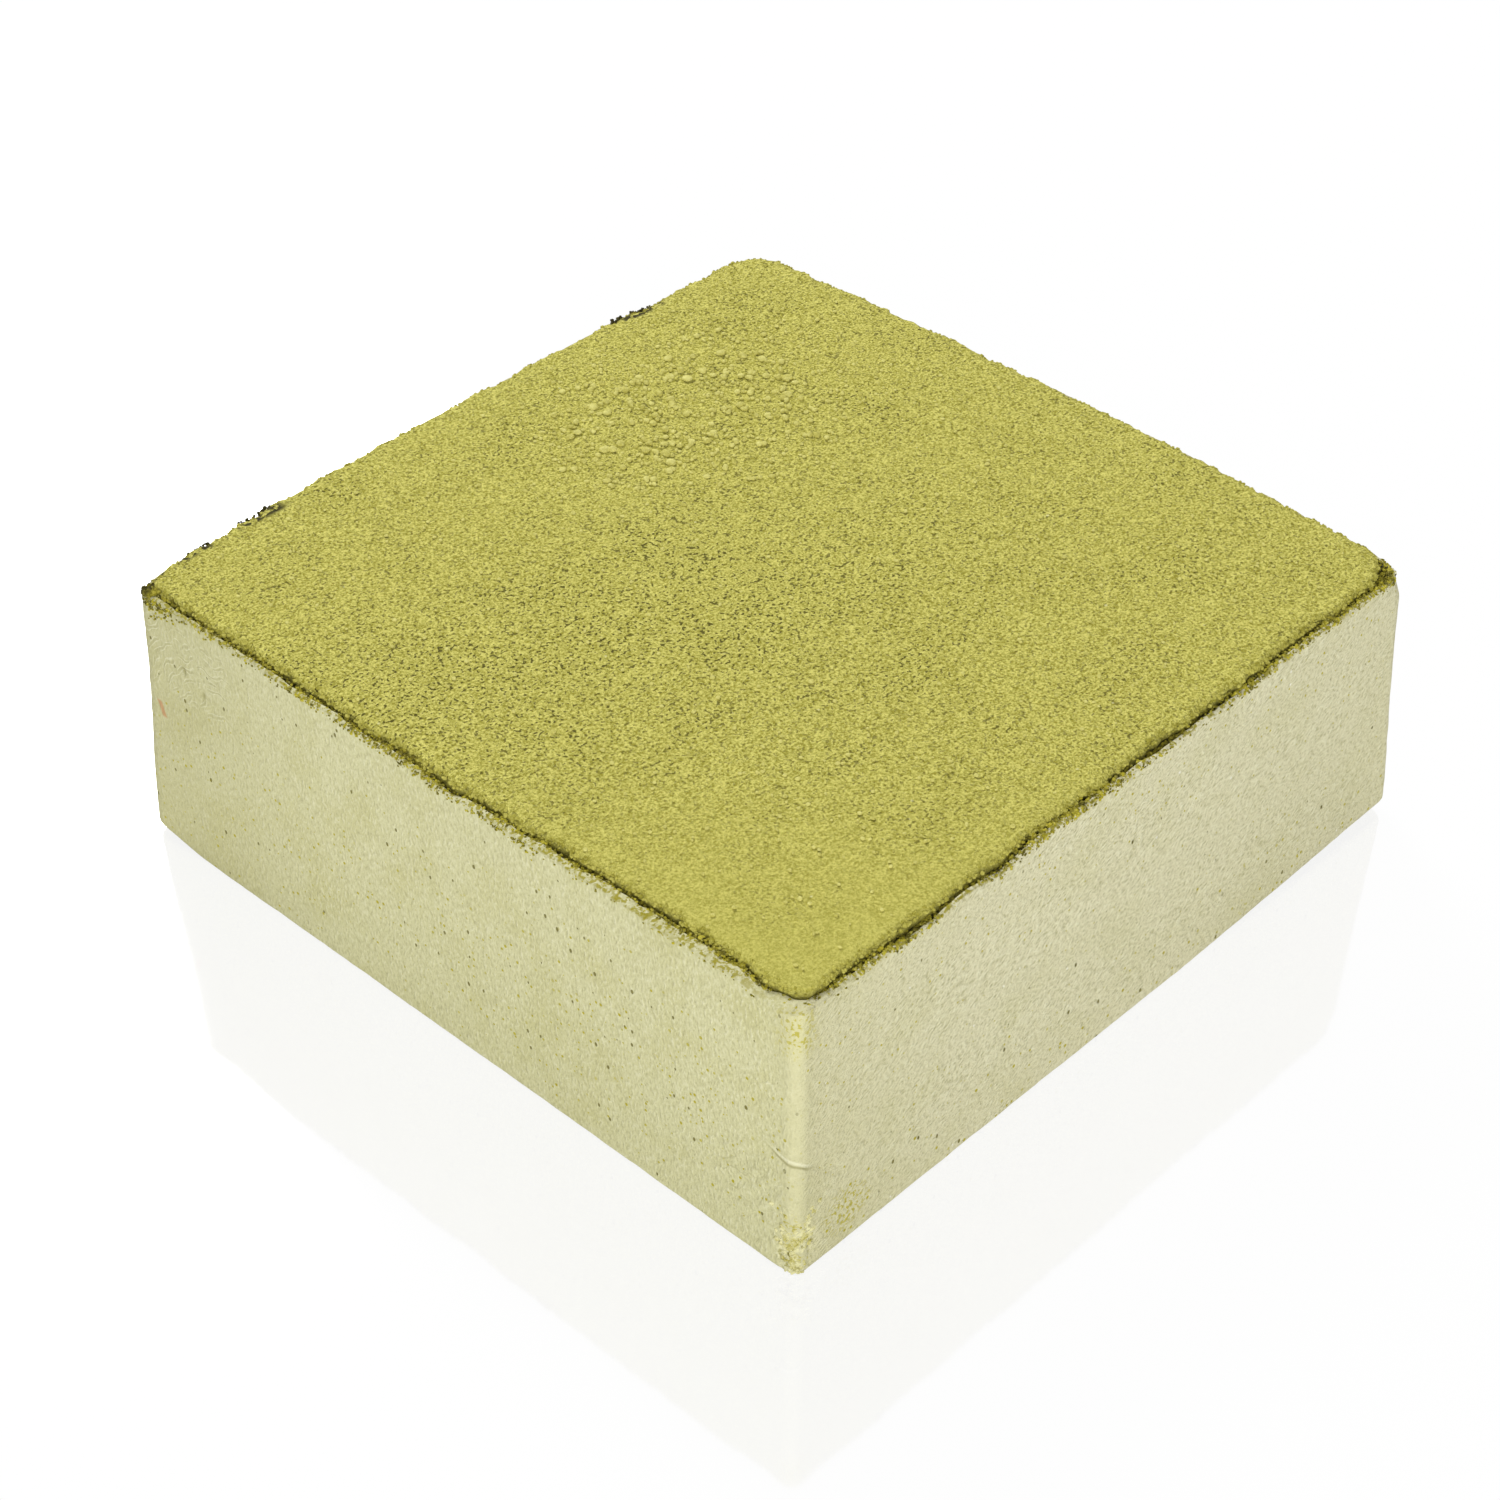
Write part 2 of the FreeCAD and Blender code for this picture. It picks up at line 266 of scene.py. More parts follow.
side_skin = new_piece(
    "moulded_side_skin",
    bpy.ops.mesh.primitive_cube_add,
    size=1,
    location=(0, 0, (wall_low + wall_high) / 2),
    scale=(2 * half, 2 * half, wall_high - wall_low),
)
select_where(side_skin, "FACE", lambda corners: max(c.z for c in corners) - min(c.z for c in corners) < MM)
bpy.ops.mesh.delete(type="ONLY_FACE")
round_uprights(side_skin, half)
divide_walls(side_skin, (14, 14), 3 * MM, 74)
print("walls:", triangles(side_skin), "triangles")

# %% [markdown]
# Now the lip. The top loop is extruded inwards over the lip's rounded edge and down the inside
# to the core, and the bottom loop round the foot. Bridging the two loops closes the wall.


# %% Lip, foot and inner wall
def at_level(level):
    return lambda corners: all(abs(c.z - level) < MM / 100 for c in corners)


def scale_by(inset_from, inset_to):
    return (half - inset_to) / (half - inset_from)


def follow(profile):
    """Extrudes the selected loop along a profile of insets and levels, in mm from the wall's end."""
    inset, level = 0.0, 0.0
    for next_inset, next_level in profile:
        extrude_edges(scale_by(inset, next_inset * MM), (next_level - level) * MM)
        inset, level = next_inset * MM, next_level
    return level * MM


OVER_THE_LIP = [(0.06, 0.12), (0.2, 0.2), (0.32, 0.19), (0.4, 0.12)]
DOWN_THE_INSIDE = [(0.41, -0.12), (0.42, -0.35), (0.43, -0.55)]
ROUND_THE_FOOT = [(0.07, -0.2), (0.18, -0.3), (0.33, -0.35)]
inner_low = 0.3 * MM
select_where(side_skin, "EDGE", at_level(wall_high))
extrude_edges(1, inner_low - (wall_high + follow(OVER_THE_LIP + DOWN_THE_INSIDE)))
select_where(side_skin, "EDGE", at_level(wall_low))
follow(ROUND_THE_FOOT)
bpy.ops.mesh.select_mode(type="EDGE")
bpy.ops.object.mode_set(mode="OBJECT")
foot_loop, inner_loop = at_level(0.0), at_level(inner_low)
select_where(side_skin, "EDGE", lambda corners: foot_loop(corners) or inner_loop(corners))
bpy.ops.mesh.bridge_edge_loops()
bpy.ops.mesh.select_all(action="SELECT")
bpy.ops.mesh.normals_make_consistent(inside=False)
bpy.ops.object.mode_set(mode="OBJECT")
print("closed skin:", triangles(side_skin), "triangles")

# %% [markdown]
# ## Wear and marks on the skin
#
# The mould left shallow waves and pits, and handling left a crease near one upright edge, a
# crumbled foot corner and two worn lip corners. Sculpting them would work, but each mark is a
# depth that depends on the place, so we add up the depths and push every point in by the sum.
# All of them go inwards, because the block may not grow past its measured size.


# %% Where a point lies on the wall
def towards_middle(points, margin=3 * MM):
    """The level direction from each point of the wall inwards."""
    core = np.clip(points[:, :2], margin - half, half - margin)
    outward = points[:, :2] - core
    length = np.linalg.norm(outward, axis=1, keepdims=True)
    return -outward / np.maximum(length, 1e-9)


def near(points, x, y, z, radius):
    """1 at a place, falling smoothly to 0 at a radius."""
    distance = np.linalg.norm(points - np.array([x, y, z]) * MM, axis=1)
    return 1 - fade(distance, 0, radius * MM)


def dimples(points, places):
    """Depth of round pits: each place is x, y, z, radius and depth in mm."""
    depth = np.zeros(len(points))
    for x, y, z, radius, deep in places:
        away = np.linalg.norm(points - np.array([x, y, z]) * MM, axis=1) / (radius * MM)
        depth = np.maximum(depth, deep * MM * (1 - fade(away, 0.35, 1.0)))
    return depth


draw = random.Random(11)
PITS_PER_SIDE = (12, 10, 12, 12)
wall_pits = []
for side, count in enumerate(PITS_PER_SIDE):
    for _ in range(count):
        along, level = draw.uniform(-34, 34), draw.uniform(1, 22.5)
        x, y = [(-35, along), (along, -35), (35, along), (along, 35)][side]
        wall_pits.append((x, y, level, draw.uniform(0.22, 0.36), draw.uniform(0.05, 0.12)))
wall_pits += [(-35, 29.5, 18.6, 0.4, 0.2), (-35, 27.2, 17.4, 0.4, 0.2)]
print(len(wall_pits), "pits in the walls")


# %% Push the wall in
def crease_height(points):
    """How far each point lies above the crease that runs round the near edge."""
    x, y, z = points.T
    line = 10.7 * MM + 0.2 * np.maximum(y + half - 1.3 * MM, 0) - 0.7 * np.maximum(x + half, 0)
    return z - line - 0.25 * MM * waves(points, 2.5 * MM, 4)


def crumbled_foot(points):
    """How crumbled the wall is at the near foot corner, 0..1."""
    x, y, z = points.T
    from_edge = (x + half) + (y + half)
    place = (1 - fade(from_edge, 0.6 * MM, 2.9 * MM)) * (1 - fade(z, 1.5 * MM, 6.0 * MM))
    return place * np.clip(0.65 + 0.7 * waves(points, 1.0 * MM, 6, 2), 0, 1)


def wall_depth(points):
    """How far each point of the wall is pushed in, in metres."""
    x, y, z = points.T
    depth = 0.055 * MM * (1 + waves(points, 8 * MM, 1))
    depth += 0.018 * MM * (1.5 + waves(points, 1.5 * MM, 2, 2))
    depth += 0.02 * MM * (1 + waves(points, 0.65 * MM, 3))
    depth += 0.05 * MM * (1 + waves(points, 1.1 * MM, 12)) * near(points, -35, 35, 14, 14)
    depth += dimples(points, wall_pits)
    # The crease and the folds near the front left edge, and its crumbled foot.
    from_edge = (x + half) + (y + half)
    under = crease_height(points) / (0.5 * MM)
    depth += 0.14 * MM * np.exp(-(under**2)) * (1 - fade(from_edge, 3 * MM, 6 * MM))
    wrinkles = np.sin((z + 0.7 * from_edge) / (0.3 * MM) + 3 * waves(points, 2.5 * MM, 5))
    depth += 0.07 * MM * (1 + wrinkles) * near(points, -35, -31, 6.5, 6.0)
    depth += 0.5 * MM * crumbled_foot(points) * (0.15 + 0.85 * fade(z, 0, 1.6 * MM))
    # The swirls near the back left edge, and the two lip corners that are worn away.
    swirl = np.sin(np.hypot(y - 24 * MM, z - 13 * MM) / (0.15 * MM) + 2 * waves(points, 4 * MM, 7))
    depth += 0.035 * MM * (1 + swirl) * near(points, -35, 28, 19.5, 6.5)
    worn_front_right = near(points, 35, -35, 24.5, 3.4) * (1 - fade(from_corner(points), 0, 3.4 * MM))
    worn_back_left = near(points, -35, 35, 25.0, 4.0) * (1 - fade(from_corner(points), 0, 2.2 * MM))
    return depth + 0.8 * MM * worn_front_right + 0.3 * MM * worn_back_left


def from_corner(points):
    """Distance of each point from the nearest sharp upright corner."""
    return np.hypot(half - abs(points[:, 0]), half - abs(points[:, 1]))


# Nicks in the lip of the back side: their place along it, width and depth, in mm.
BACK_NICKS = [(-25.9, 1.5, 0.15), (-22.4, 1.1, 0.15), (20.3, 1.3, 0.15), (4.0, 0.8, 0.2)]
DEEPEST_DROP = 0.7 * MM  # so that the lip stays above the core


def lip_drop(points):
    """How far the lip is broken down at each place, in metres."""
    flat = points * [1, 1, 0]
    drop = 0.45 * MM * np.maximum(waves(flat, 4.5 * MM, 8) + 0.05, 0)
    drop += 0.22 * MM * np.maximum(waves(flat, 1.3 * MM, 9), 0)
    drop += 0.12 * MM * (1 + waves(flat, 0.5 * MM, 10)) / 2
    for along, wide, deep in BACK_NICKS:
        drop += deep * MM * near(flat, along, 35, 0, wide)
    drop += 0.25 * MM * near(flat, 35, -23, 0, 1.0)
    drop *= 1 - 0.7 * near(flat, -35, -35, 0, 4.0)
    drop += 0.3 * MM * near(flat, 34.6, -34.6, 0, 4.4)
    drop += 0.5 * MM * near(flat, -34.6, 34.6, 0, 2.8)
    return np.minimum(drop, DEEPEST_DROP)


def drop_lip(points):
    """The points with the lip broken down, without folding the wall over itself."""
    drop = lip_drop(points)
    start = lip_top - 0.6 * MM - 2.5 * drop
    share = np.clip((points[:, 2] - start) / (lip_top - start), 0, 1)
    dropped = points.copy()
    dropped[:, 2] -= drop * share**1.5
    return dropped


def widen_lip(points):
    """How much wider the lip gets along the left and front sides, towards their corner."""
    x, y, _ = points.T
    at_left, at_front = 1 - fade(x, -32.5 * MM, -29 * MM), 1 - fade(y, -32.5 * MM, -29 * MM)
    from_left = 0.65 * MM * fade(-y, -6 * MM, 28 * MM) * at_left
    from_front = 0.3 * MM * fade(-x, 26 * MM, 34 * MM) * at_front
    return np.stack([from_left, from_front], axis=1)


def keep_mark(piece, name, shares):
    """Writes a number from 0 to 1 on each point, for the material to read."""
    mark = piece.data.attributes.new(name, "FLOAT", "POINT")
    mark.data.foreach_set("value", shares)


points = points_of(side_skin)
keep_mark(side_skin, "pits", np.clip(dimples(points, wall_pits) / (0.12 * MM), 0, 1))
keep_mark(side_skin, "crumbled", crumbled_foot(points))
inward = towards_middle(points)
x, y, z = points.T
thickness_in = np.minimum(half - np.abs(x), half - np.abs(y))
in_wall = np.where(thickness_in < 0.36 * MM, 1.0, 0.35)
in_wall = np.where((z < 0.32 * MM) & (thickness_in > 0.3 * MM), 0.6, in_wall)
depth = wall_depth(points) * in_wall
points[:, :2] += inward * depth[:, None]
inside_lip = (thickness_in > 0.25 * MM) & (z > core_top - 0.2 * MM)
closed = 0.45 * MM * near(points * [1, 1, 0], -35, -35, 0, 4.5)
points[:, :2] += (widen_lip(points) + inward * closed[:, None]) * inside_lip[:, None]
set_points(side_skin, bow_out(lean_in(lift_foot(drop_lip(points)))))
make_active(side_skin)
bpy.ops.object.shade_smooth_by_angle(angle=math.radians(60))
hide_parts("side_skin")
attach(side_skin, "root")
print("pushed in by up to", round(depth.max() / MM, 2), "mm")

# %% [markdown]
# ## The base skin
#
# The base is the same skin, pressed flat: nobody sees it until the block is picked up, and then
# it shows pits and scuffs. A thin plate fills the wall's foot.

# %% Base skin
PLATE = 0.3 * MM
base_skin = new_piece(
    "moulded_base_skin", bpy.ops.mesh.primitive_grid_add, x_subdivisions=140, y_subdivisions=140, size=2
)


def rounded_square(grid, reach, radii):
    """Maps a grid over -1..1 onto a square with rounded corners, closer set near its edges."""
    spread = grid + 0.22 * grid * (1 - grid**2)
    placed = spread * reach
    for (x_sign, y_sign), radius in radii.items():
        a = (placed[:, 0] * x_sign - (reach - radius)) / radius
        b = (placed[:, 1] * y_sign - (reach - radius)) / radius
        inside = (a > 0) & (b > 0)
        a, b = a[inside], b[inside]
        placed[inside, 0] = x_sign * (reach - radius + radius * a * np.sqrt(1 - b**2 / 2))
        placed[inside, 1] = y_sign * (reach - radius + radius * b * np.sqrt(1 - a**2 / 2))
    return placed


def from_rim(places, reach, radii):
    """How far inside the rounded square's rim each place lies."""
    distance = np.minimum(reach - abs(places[:, 0]), reach - abs(places[:, 1]))
    for (x_sign, y_sign), radius in radii.items():
        a = places[:, 0] * x_sign - (reach - radius)
        b = places[:, 1] * y_sign - (reach - radius)
        inside = (a > 0) & (b > 0)
        distance[inside] = radius - np.hypot(a[inside], b[inside])
    return distance


base_radii = {corner: max(radius - PLATE, 0.8 * MM) for corner, radius in CORNER_RADII.items()}
base_reach = half - 0.34 * MM
points = points_of(base_skin)
points[:, :2] = rounded_square(points[:, :2], base_reach, base_radii)
draw = random.Random(12)
base_pits = [
    (draw.uniform(-33, 33), draw.uniform(-33, 33), 0, draw.uniform(0.5, 1.3), draw.uniform(0.05, 0.2))
    for _ in range(90)
]
rim_distance = from_rim(points, base_reach, base_radii)
relief = dimples(points, base_pits) + 0.012 * MM * (1.2 + waves(points, 2.5 * MM, 20, 2))
relief += 0.05 * MM * (1 + waves(points, 14 * MM, 21)) * fade(rim_distance, 0, 6 * MM)
corner_gone = near(points, -35, -35, 0, 4.2)
rim_share = 1 - fade(rim_distance, 0, 1.5 * MM)
points[:, :2] += towards_middle(points) * (wall_depth(points) * rim_share)[:, None]
points[:, 2] = relief + 0.3 * MM * corner_gone
set_points(base_skin, points)
select_where(base_skin, "FACE", lambda corners: True)
bpy.ops.mesh.flip_normals()
bpy.ops.object.mode_set(mode="OBJECT")
modifier = base_skin.modifiers.new("wall", "SOLIDIFY")
modifier.thickness = PLATE
modifier.offset = -1
bpy.ops.object.modifier_apply(modifier="wall")
set_points(base_skin, bow_out(lift_foot(points_of(base_skin))))
bpy.ops.object.shade_smooth_by_angle(angle=math.radians(60))
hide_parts("base_skin")
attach(base_skin, "root")
print("base:", triangles(base_skin), "triangles")

# %% [markdown]
# ## The core
#
# The core is almost hidden: only its top edge shows, dark, at the bottom of the seam. A plain
# block would do, but where the skin is worn deep the core has to give way too. So it is a
# block with rounded upright edges, divided finely enough to take the same wear.

# %% Core
CORE_GAP = 0.03 * MM  # between the core and the inside of the skin
core_low = 1.6 * MM  # clear of the lifted foot
core_reach = half - SKIN - CORE_GAP
core = new_piece(
    "pressed_core",
    bpy.ops.mesh.primitive_cube_add,
    size=1,
    location=(0, 0, (core_low + core_top) / 2),
    scale=(2 * core_reach, 2 * core_reach, core_top - core_low),
)
round_uprights(core, core_reach, SKIN)
divide_walls(core, (14, 9), 2 * MM, 23)
points = points_of(core)
near_wall = np.max(np.abs(points[:, :2]), axis=1) > core_reach - 3 * MM
points[:, :2] += towards_middle(points) * (wall_depth(points) * near_wall)[:, None]
set_points(core, bow_out(lean_in(points)))
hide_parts("core_block")
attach(core, "root")
print("core:", triangles(core), "triangles")

# %% [markdown]
# ## The drawing face
#
# The face is a slab of bare powder on the core. Its edge is rounded and crumbles, so it gets a
# grid that is set closer towards the edge. The grid is laid onto the rounded square, its rim is
# dropped over the edge, and the rim is extruded down to the core.

# %% How ragged the face's edge is
# Bites out of the back edge: their place along it, width and depth, in mm.
BACK_BITES = [(-27.5, 1.0, 0.3), (-25.9, 1.2, 0.4), (-22.4, 1.2, 0.3), (20.3, 1.5, 0.4), (17.5, 0.9, 0.3)]


def ragged_edge(points):
    """How far the face's edge stands back from its mean line, in metres."""
    x, y, z = points.T
    flat = points * [1, 1, 0]
    back = 0.17 * waves(flat, 4.5 * MM, 30) + 0.16 * waves(flat, 1.3 * MM, 31)
    back += 0.15 * waves(points, 0.5 * MM, 32) + 0.05
    right = fade(x, 31.6 * MM, 33.2 * MM) * fade(y, -33.5 * MM, -31 * MM)
    rear = fade(y, 33 * MM, 33.8 * MM) * fade(x, -33 * MM, -31 * MM)
    back -= 0.58 * np.maximum(right, rear) * fade(z, lip_top - 0.1 * MM, lip_top + 0.1 * MM)
    for along, wide, deep in BACK_BITES:
        back += deep * near(flat, along, 34.1, 0, wide)
    return back * MM


# %% Drawing face
FACE_RADII = {(-1, -1): 1.2 * MM, (1, -1): 3.0 * MM, (1, 1): 2.6 * MM, (-1, 1): 1.3 * MM}
FACE_ROUND = 0.5 * MM
face_reach = half - SKIN - SEAM
drawing_face = new_piece(
    "powder_drawing_face", bpy.ops.mesh.primitive_grid_add, x_subdivisions=280, y_subdivisions=280, size=2
)
points = points_of(drawing_face)
points[:, :2] = rounded_square(points[:, :2], face_reach, FACE_RADII)
points[:, 2] = face_top
set_points(drawing_face, points)
select_where(drawing_face, "EDGE", lambda corners: False)
bpy.ops.mesh.select_non_manifold()
for drop in (0.18, 0.25, 0.3, 0.3):
    bpy.ops.mesh.extrude_region_move()
    bpy.ops.transform.translate(value=(0, 0, -drop * MM))
bpy.ops.mesh.edge_face_add()
bpy.ops.mesh.select_all(action="SELECT")
bpy.ops.mesh.normals_make_consistent(inside=False)
bpy.ops.object.mode_set(mode="OBJECT")

points = points_of(drawing_face)
x, y, z = points.T
inside = from_rim(points, face_reach, FACE_RADII)
flat_place = points * [1, 1, 0]
inward = towards_middle(points)
ragged = ragged_edge(points) * (1 - fade(inside, 0, 1.6 * MM))
beside_lip = 1 - fade(inside, 0.2 * MM, 3.5 * MM)
points[:, :2] += inward * ragged[:, None] + widen_lip(points) * beside_lip[:, None]
crumbly = inside + MM * (0.10 * waves(flat_place, 0.7 * MM, 33) + 0.06 * waves(flat_place, 0.35 * MM, 34))
over = np.clip(1 - crumbly / FACE_ROUND, 0, 1)
top_drop = FACE_ROUND * (1 - np.sqrt(1 - over**2)) * 0.9
relief = 0.045 * waves(flat_place, 14 * MM, 35) + 0.02 * waves(flat_place, 2.2 * MM, 36, 2)
relief += 0.022 * waves(flat_place, 0.75 * MM, 37) + 0.02 * waves(flat_place, 0.5 * MM, 38)
on_top = z > face_top - MM / 100
points[:, 2] += np.where(on_top, -top_drop + relief * MM - 0.05 * MM, 0)
down = np.clip((face_top - z) / (face_top - core_top), 0, 1)
points[:, 2] -= np.where(on_top, 0, FACE_ROUND * 0.9 * (1 - down) * (down < 0.9) * 0.6)
set_points(drawing_face, bow_out(lean_in(points)))
bpy.ops.object.shade_smooth_by_angle(angle=math.radians(60))
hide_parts("face_layer")
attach(drawing_face, "root")
print("drawing face:", triangles(drawing_face), "triangles")

# %% [markdown]
# ## Crumbs and grains
#
# Pressed powder breaks into crumbs. There are thousands of them, so each is a copy of one small
# rough lump, with its own size and turn. The lump has few faces. All the copies of one kind
# make one mesh, which is quick to build from arrays.


# %% One rough lump, and many copies of it
def rough_lump(name, rings, seed):
    """The corners and triangles of a rough lump about 1 wide."""
    lump = new_piece(name, bpy.ops.mesh.primitive_ico_sphere_add, subdivisions=rings, radius=0.5)
    corners = points_of(lump)
    corners *= 1 + 0.34 * waves(corners, 0.55, seed)[:, None]
    faces = np.array([list(face.vertices) for face in lump.data.polygons])
    bpy.data.objects.remove(lump)
    return corners, faces


LUMPS = [rough_lump("lump", 1, 41), rough_lump("lump", 1, 42)]
CLODS = [rough_lump("lump", 2, 43), rough_lump("lump", 2, 44), rough_lump("lump", 2, 45)]


def crumbs_piece(name, kinds, places, seed):
    """One mesh of many lumps. Each place is x, y, z of the middle, width, and height share."""
    draws = np.random.default_rng(seed)
    all_corners, all_faces, count = [], [], 0
    for number, (x, y, z, width, flatness) in enumerate(places):
        corners, faces = kinds[number % len(kinds)]
        turn = draws.uniform(0, 2 * math.pi)
        turned = corners * draws.uniform(0.75, 1.2, 3)
        cosine, sine = math.cos(turn), math.sin(turn)
        flat = turned[:, :2] @ np.array([[cosine, sine], [-sine, cosine]])
        placed = np.hstack([flat, turned[:, 2:] * flatness]) * width + [x, y, z]
        all_corners.append(placed)
        all_faces.append(faces + count)
        count += len(corners)
    mesh = bpy.data.meshes.new(name)
    mesh.from_pydata(np.vstack(all_corners).tolist(), [], np.vstack(all_faces).tolist())
    piece = bpy.data.objects.new(name, mesh)
    bpy.context.collection.objects.link(piece)
    print(name + ":", len(places), "lumps,", triangles(piece), "triangles")
    return piece


# %% [markdown]
# The crumbs on the face lie thickest towards the back right, where the powder broke away in
# clods. Elsewhere there is only a fine scatter.


# %% Crumbs on the drawing face
def on_block(places):
    """Gives square places the block's lean and bows."""
    return bow_out(lean_in(np.array(places)))


draw = random.Random(21)
face_places, sizes = [], []
while len(face_places) < 2000:
    x, y = draw.uniform(-33, 33), draw.uniform(-33, 33)
    clods = max(0, 1 - math.hypot((x - 12) / 19, (y - 20) / 14))
    if draw.random() > 0.12 + 0.88 * min(1, 2 * clods):
        continue
    width = draw.uniform(0.14, 0.34) + (draw.random() ** 3) * 0.42 * min(1, 2 * clods)
    face_places.append((x * MM, y * MM, face_top - 0.05 * MM))
    sizes.append(width * MM)
placed = on_block(face_places)
lying = [(x, y, z + 0.18 * width, width, draw.uniform(0.6, 0.85)) for (x, y, z), width in zip(placed, sizes)]
face_crumbs = crumbs_piece("powder_crumbs", CLODS, lying, 22)
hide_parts("face_crumbs")
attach(face_crumbs, "root")

# %% [markdown]
# Along the seam the crumbs lie in three places: in the seam itself, on the lip, and spilled
# over the lip at two corners. We walk round the rim and drop them at random distances.


# %% Places round the rim
def rim_place(along, inset, level, radii=CORNER_RADII):
    """A place on the upright square: along runs 0..4, one for each side from the front left."""
    side, share = int(along) % 4, 2 * (along % 1) - 1
    reach = half - inset
    run = share * reach
    x, y = [(run, -reach), (reach, run), (-run, reach), (-reach, -run)][side]
    corner = (int(math.copysign(1, x)), int(math.copysign(1, y)))
    straight = reach - radii[corner]
    over_x, over_y = abs(x) - straight, abs(y) - straight
    if over_x > 0 and over_y > 0:
        pull = radii[corner] / math.hypot(over_x, over_y)
        x = corner[0] * (straight + over_x * pull)
        y = corner[1] * (straight + over_y * pull)
    return (x, y, level)


# The middle and spread of each spill round the rim, how far it reaches down, and its crumbs.
SPILLS = [
    (3.042, 0.014, 1.5, 170),
    (0.985, 0.02, 0.7, 60),
    (3.55, 0.08, 0.8, 90),
    (3.3, 0.1, 0.6, 90),
    (0.5, 0.12, 0.5, 90),
]


def thickness_of_bead(along):
    """How thick the crumbs lie on the lip at each place round the rim, 0..1."""
    spot = np.array([[along * 4 * MM, 0, 0]])
    return float(fade(waves(spot, 0.3 * MM, 50, 3)[0], -0.5, 0.6))


def is_far(along):
    """Whether the powder reaches over the lip here: on the right and the back side."""
    return 1.035 < along < 2.97


# The middle and half width of each dark broken stretch round the rim, and its grains.
BITES = [
    (2.906, 0.024, 150),
    (2.817, 0.028, 170),
    (2.20, 0.02, 90),
    (2.24, 0.01, 50),
    (3.008, 0.018, 420),
]
SEAM_GRAINS, RIGHT_CORNER_GRAINS, LIP_CRUMBS, EDGE_CRUMBS, FOOT_LUMPS = 4200, 300, 7500, 2800, 420
draw = random.Random(31)
seam_places, lip_places, edge_places, spilled, foot_places = [], [], [], [], []
for _ in range(SEAM_GRAINS):
    along = draw.uniform(0, 4)
    width = draw.uniform(0.14, 0.36) * MM
    inset = SKIN + draw.uniform(-0.1, 1.0) * SEAM
    full = thickness_of_bead(along + 7)
    level = core_top + (0.1 + draw.uniform(0.0, 0.4) + 0.4 * full) * MM
    if not is_far(along) and 0.02 < along < 3.98:
        chosen = lip_places if full > 0.5 and draw.random() < 0.65 else seam_places
        chosen.append((rim_place(along, inset, level), width))
for middle, spread, number in BITES:
    for _ in range(number):
        inset = draw.uniform(-0.05, 0.8) * MM
        level = lip_top + draw.uniform(-0.1, 0.3) * MM
        place = rim_place(middle + draw.uniform(-1, 1) * spread, inset, level)
        seam_places.append((place, draw.uniform(0.12, 0.36) * MM))
for number in range(RIGHT_CORNER_GRAINS):
    inset = draw.uniform(0.95, 2.0) * MM
    place = rim_place(draw.gauss(0.985, 0.016), inset, core_top + draw.uniform(0.1, 0.5) * MM)
    chosen = seam_places if number % 3 == 0 else lip_places
    chosen.append((place, draw.uniform(0.12, 0.34) * MM))
for _ in range(LIP_CRUMBS):
    along = draw.uniform(0, 4)
    near_front_left = max(0.0, 1 - min(along, 4 - along) / 0.05)
    share = 0.06 + 0.94 * thickness_of_bead(along) ** 1.4
    if is_far(along) or abs(along - 3) < 0.015 or draw.random() > share * (1 - near_front_left):
        continue
    width = draw.uniform(0.10, 0.30) * MM
    inset = draw.uniform(0.0, 0.55) * MM
    lip_places.append((rim_place(along, inset, lip_top - 0.06 * MM - max(0, 0.12 * MM - inset)), width))
    # A crumb in eight hangs lower, on the wall under the lip.
    if draw.random() < 0.13 and near_front_left == 0:
        spilled.append((rim_place(along, 0.0, lip_top - draw.uniform(0.2, 0.45) * MM), 0.8 * width))
for _ in range(EDGE_CRUMBS):
    along = draw.uniform(0, 4)
    width = draw.uniform(0.16, 0.40) * MM
    inset = SKIN + SEAM + draw.uniform(-0.12, 0.30) * MM
    level = face_top - 0.12 * MM - (SKIN + SEAM + 0.35 * MM - inset) * 0.75
    edge_places.append((rim_place(along, inset, level, FACE_RADII), width))
for _ in range(FOOT_LUMPS):
    level = (0.1 + 6.0 * draw.betavariate(1.1, 1.7)) * MM
    along = draw.gauss(0, 0.006 + 0.006 * level / (5 * MM)) % 4
    width = draw.uniform(0.16, 0.34 + 0.28 * min(1, level / (2 * MM))) * MM
    foot_places.append((rim_place(along, 0.3 * width, level), width))
for middle, spread, reach_down, number in SPILLS:
    for _ in range(number):
        along = (middle + draw.gauss(0, spread)) % 4
        down = abs(draw.gauss(0, 0.45)) * reach_down * MM
        width = draw.uniform(0.08, 0.28) * MM
        spilled.append((rim_place(along, 0.0, lip_top - 0.15 * MM - down), width))


def lay(places, on_skin=True, with_lip=False):
    """Places and widths, set on the worn wall, leaned and bowed, as crumbs_piece wants them."""
    points = np.array([place for place, _ in places])
    depth = wall_depth(points) if on_skin else ragged_edge(points)
    if with_lip:
        points[:, :2] += widen_lip(points)
    points[:, :2] += towards_middle(points) * depth[:, None]
    if on_skin:
        points = drop_lip(points)
    placed = on_block(points)
    return [(x, y, z, width, 0.85) for (x, y, z), (_, width) in zip(placed, places)]


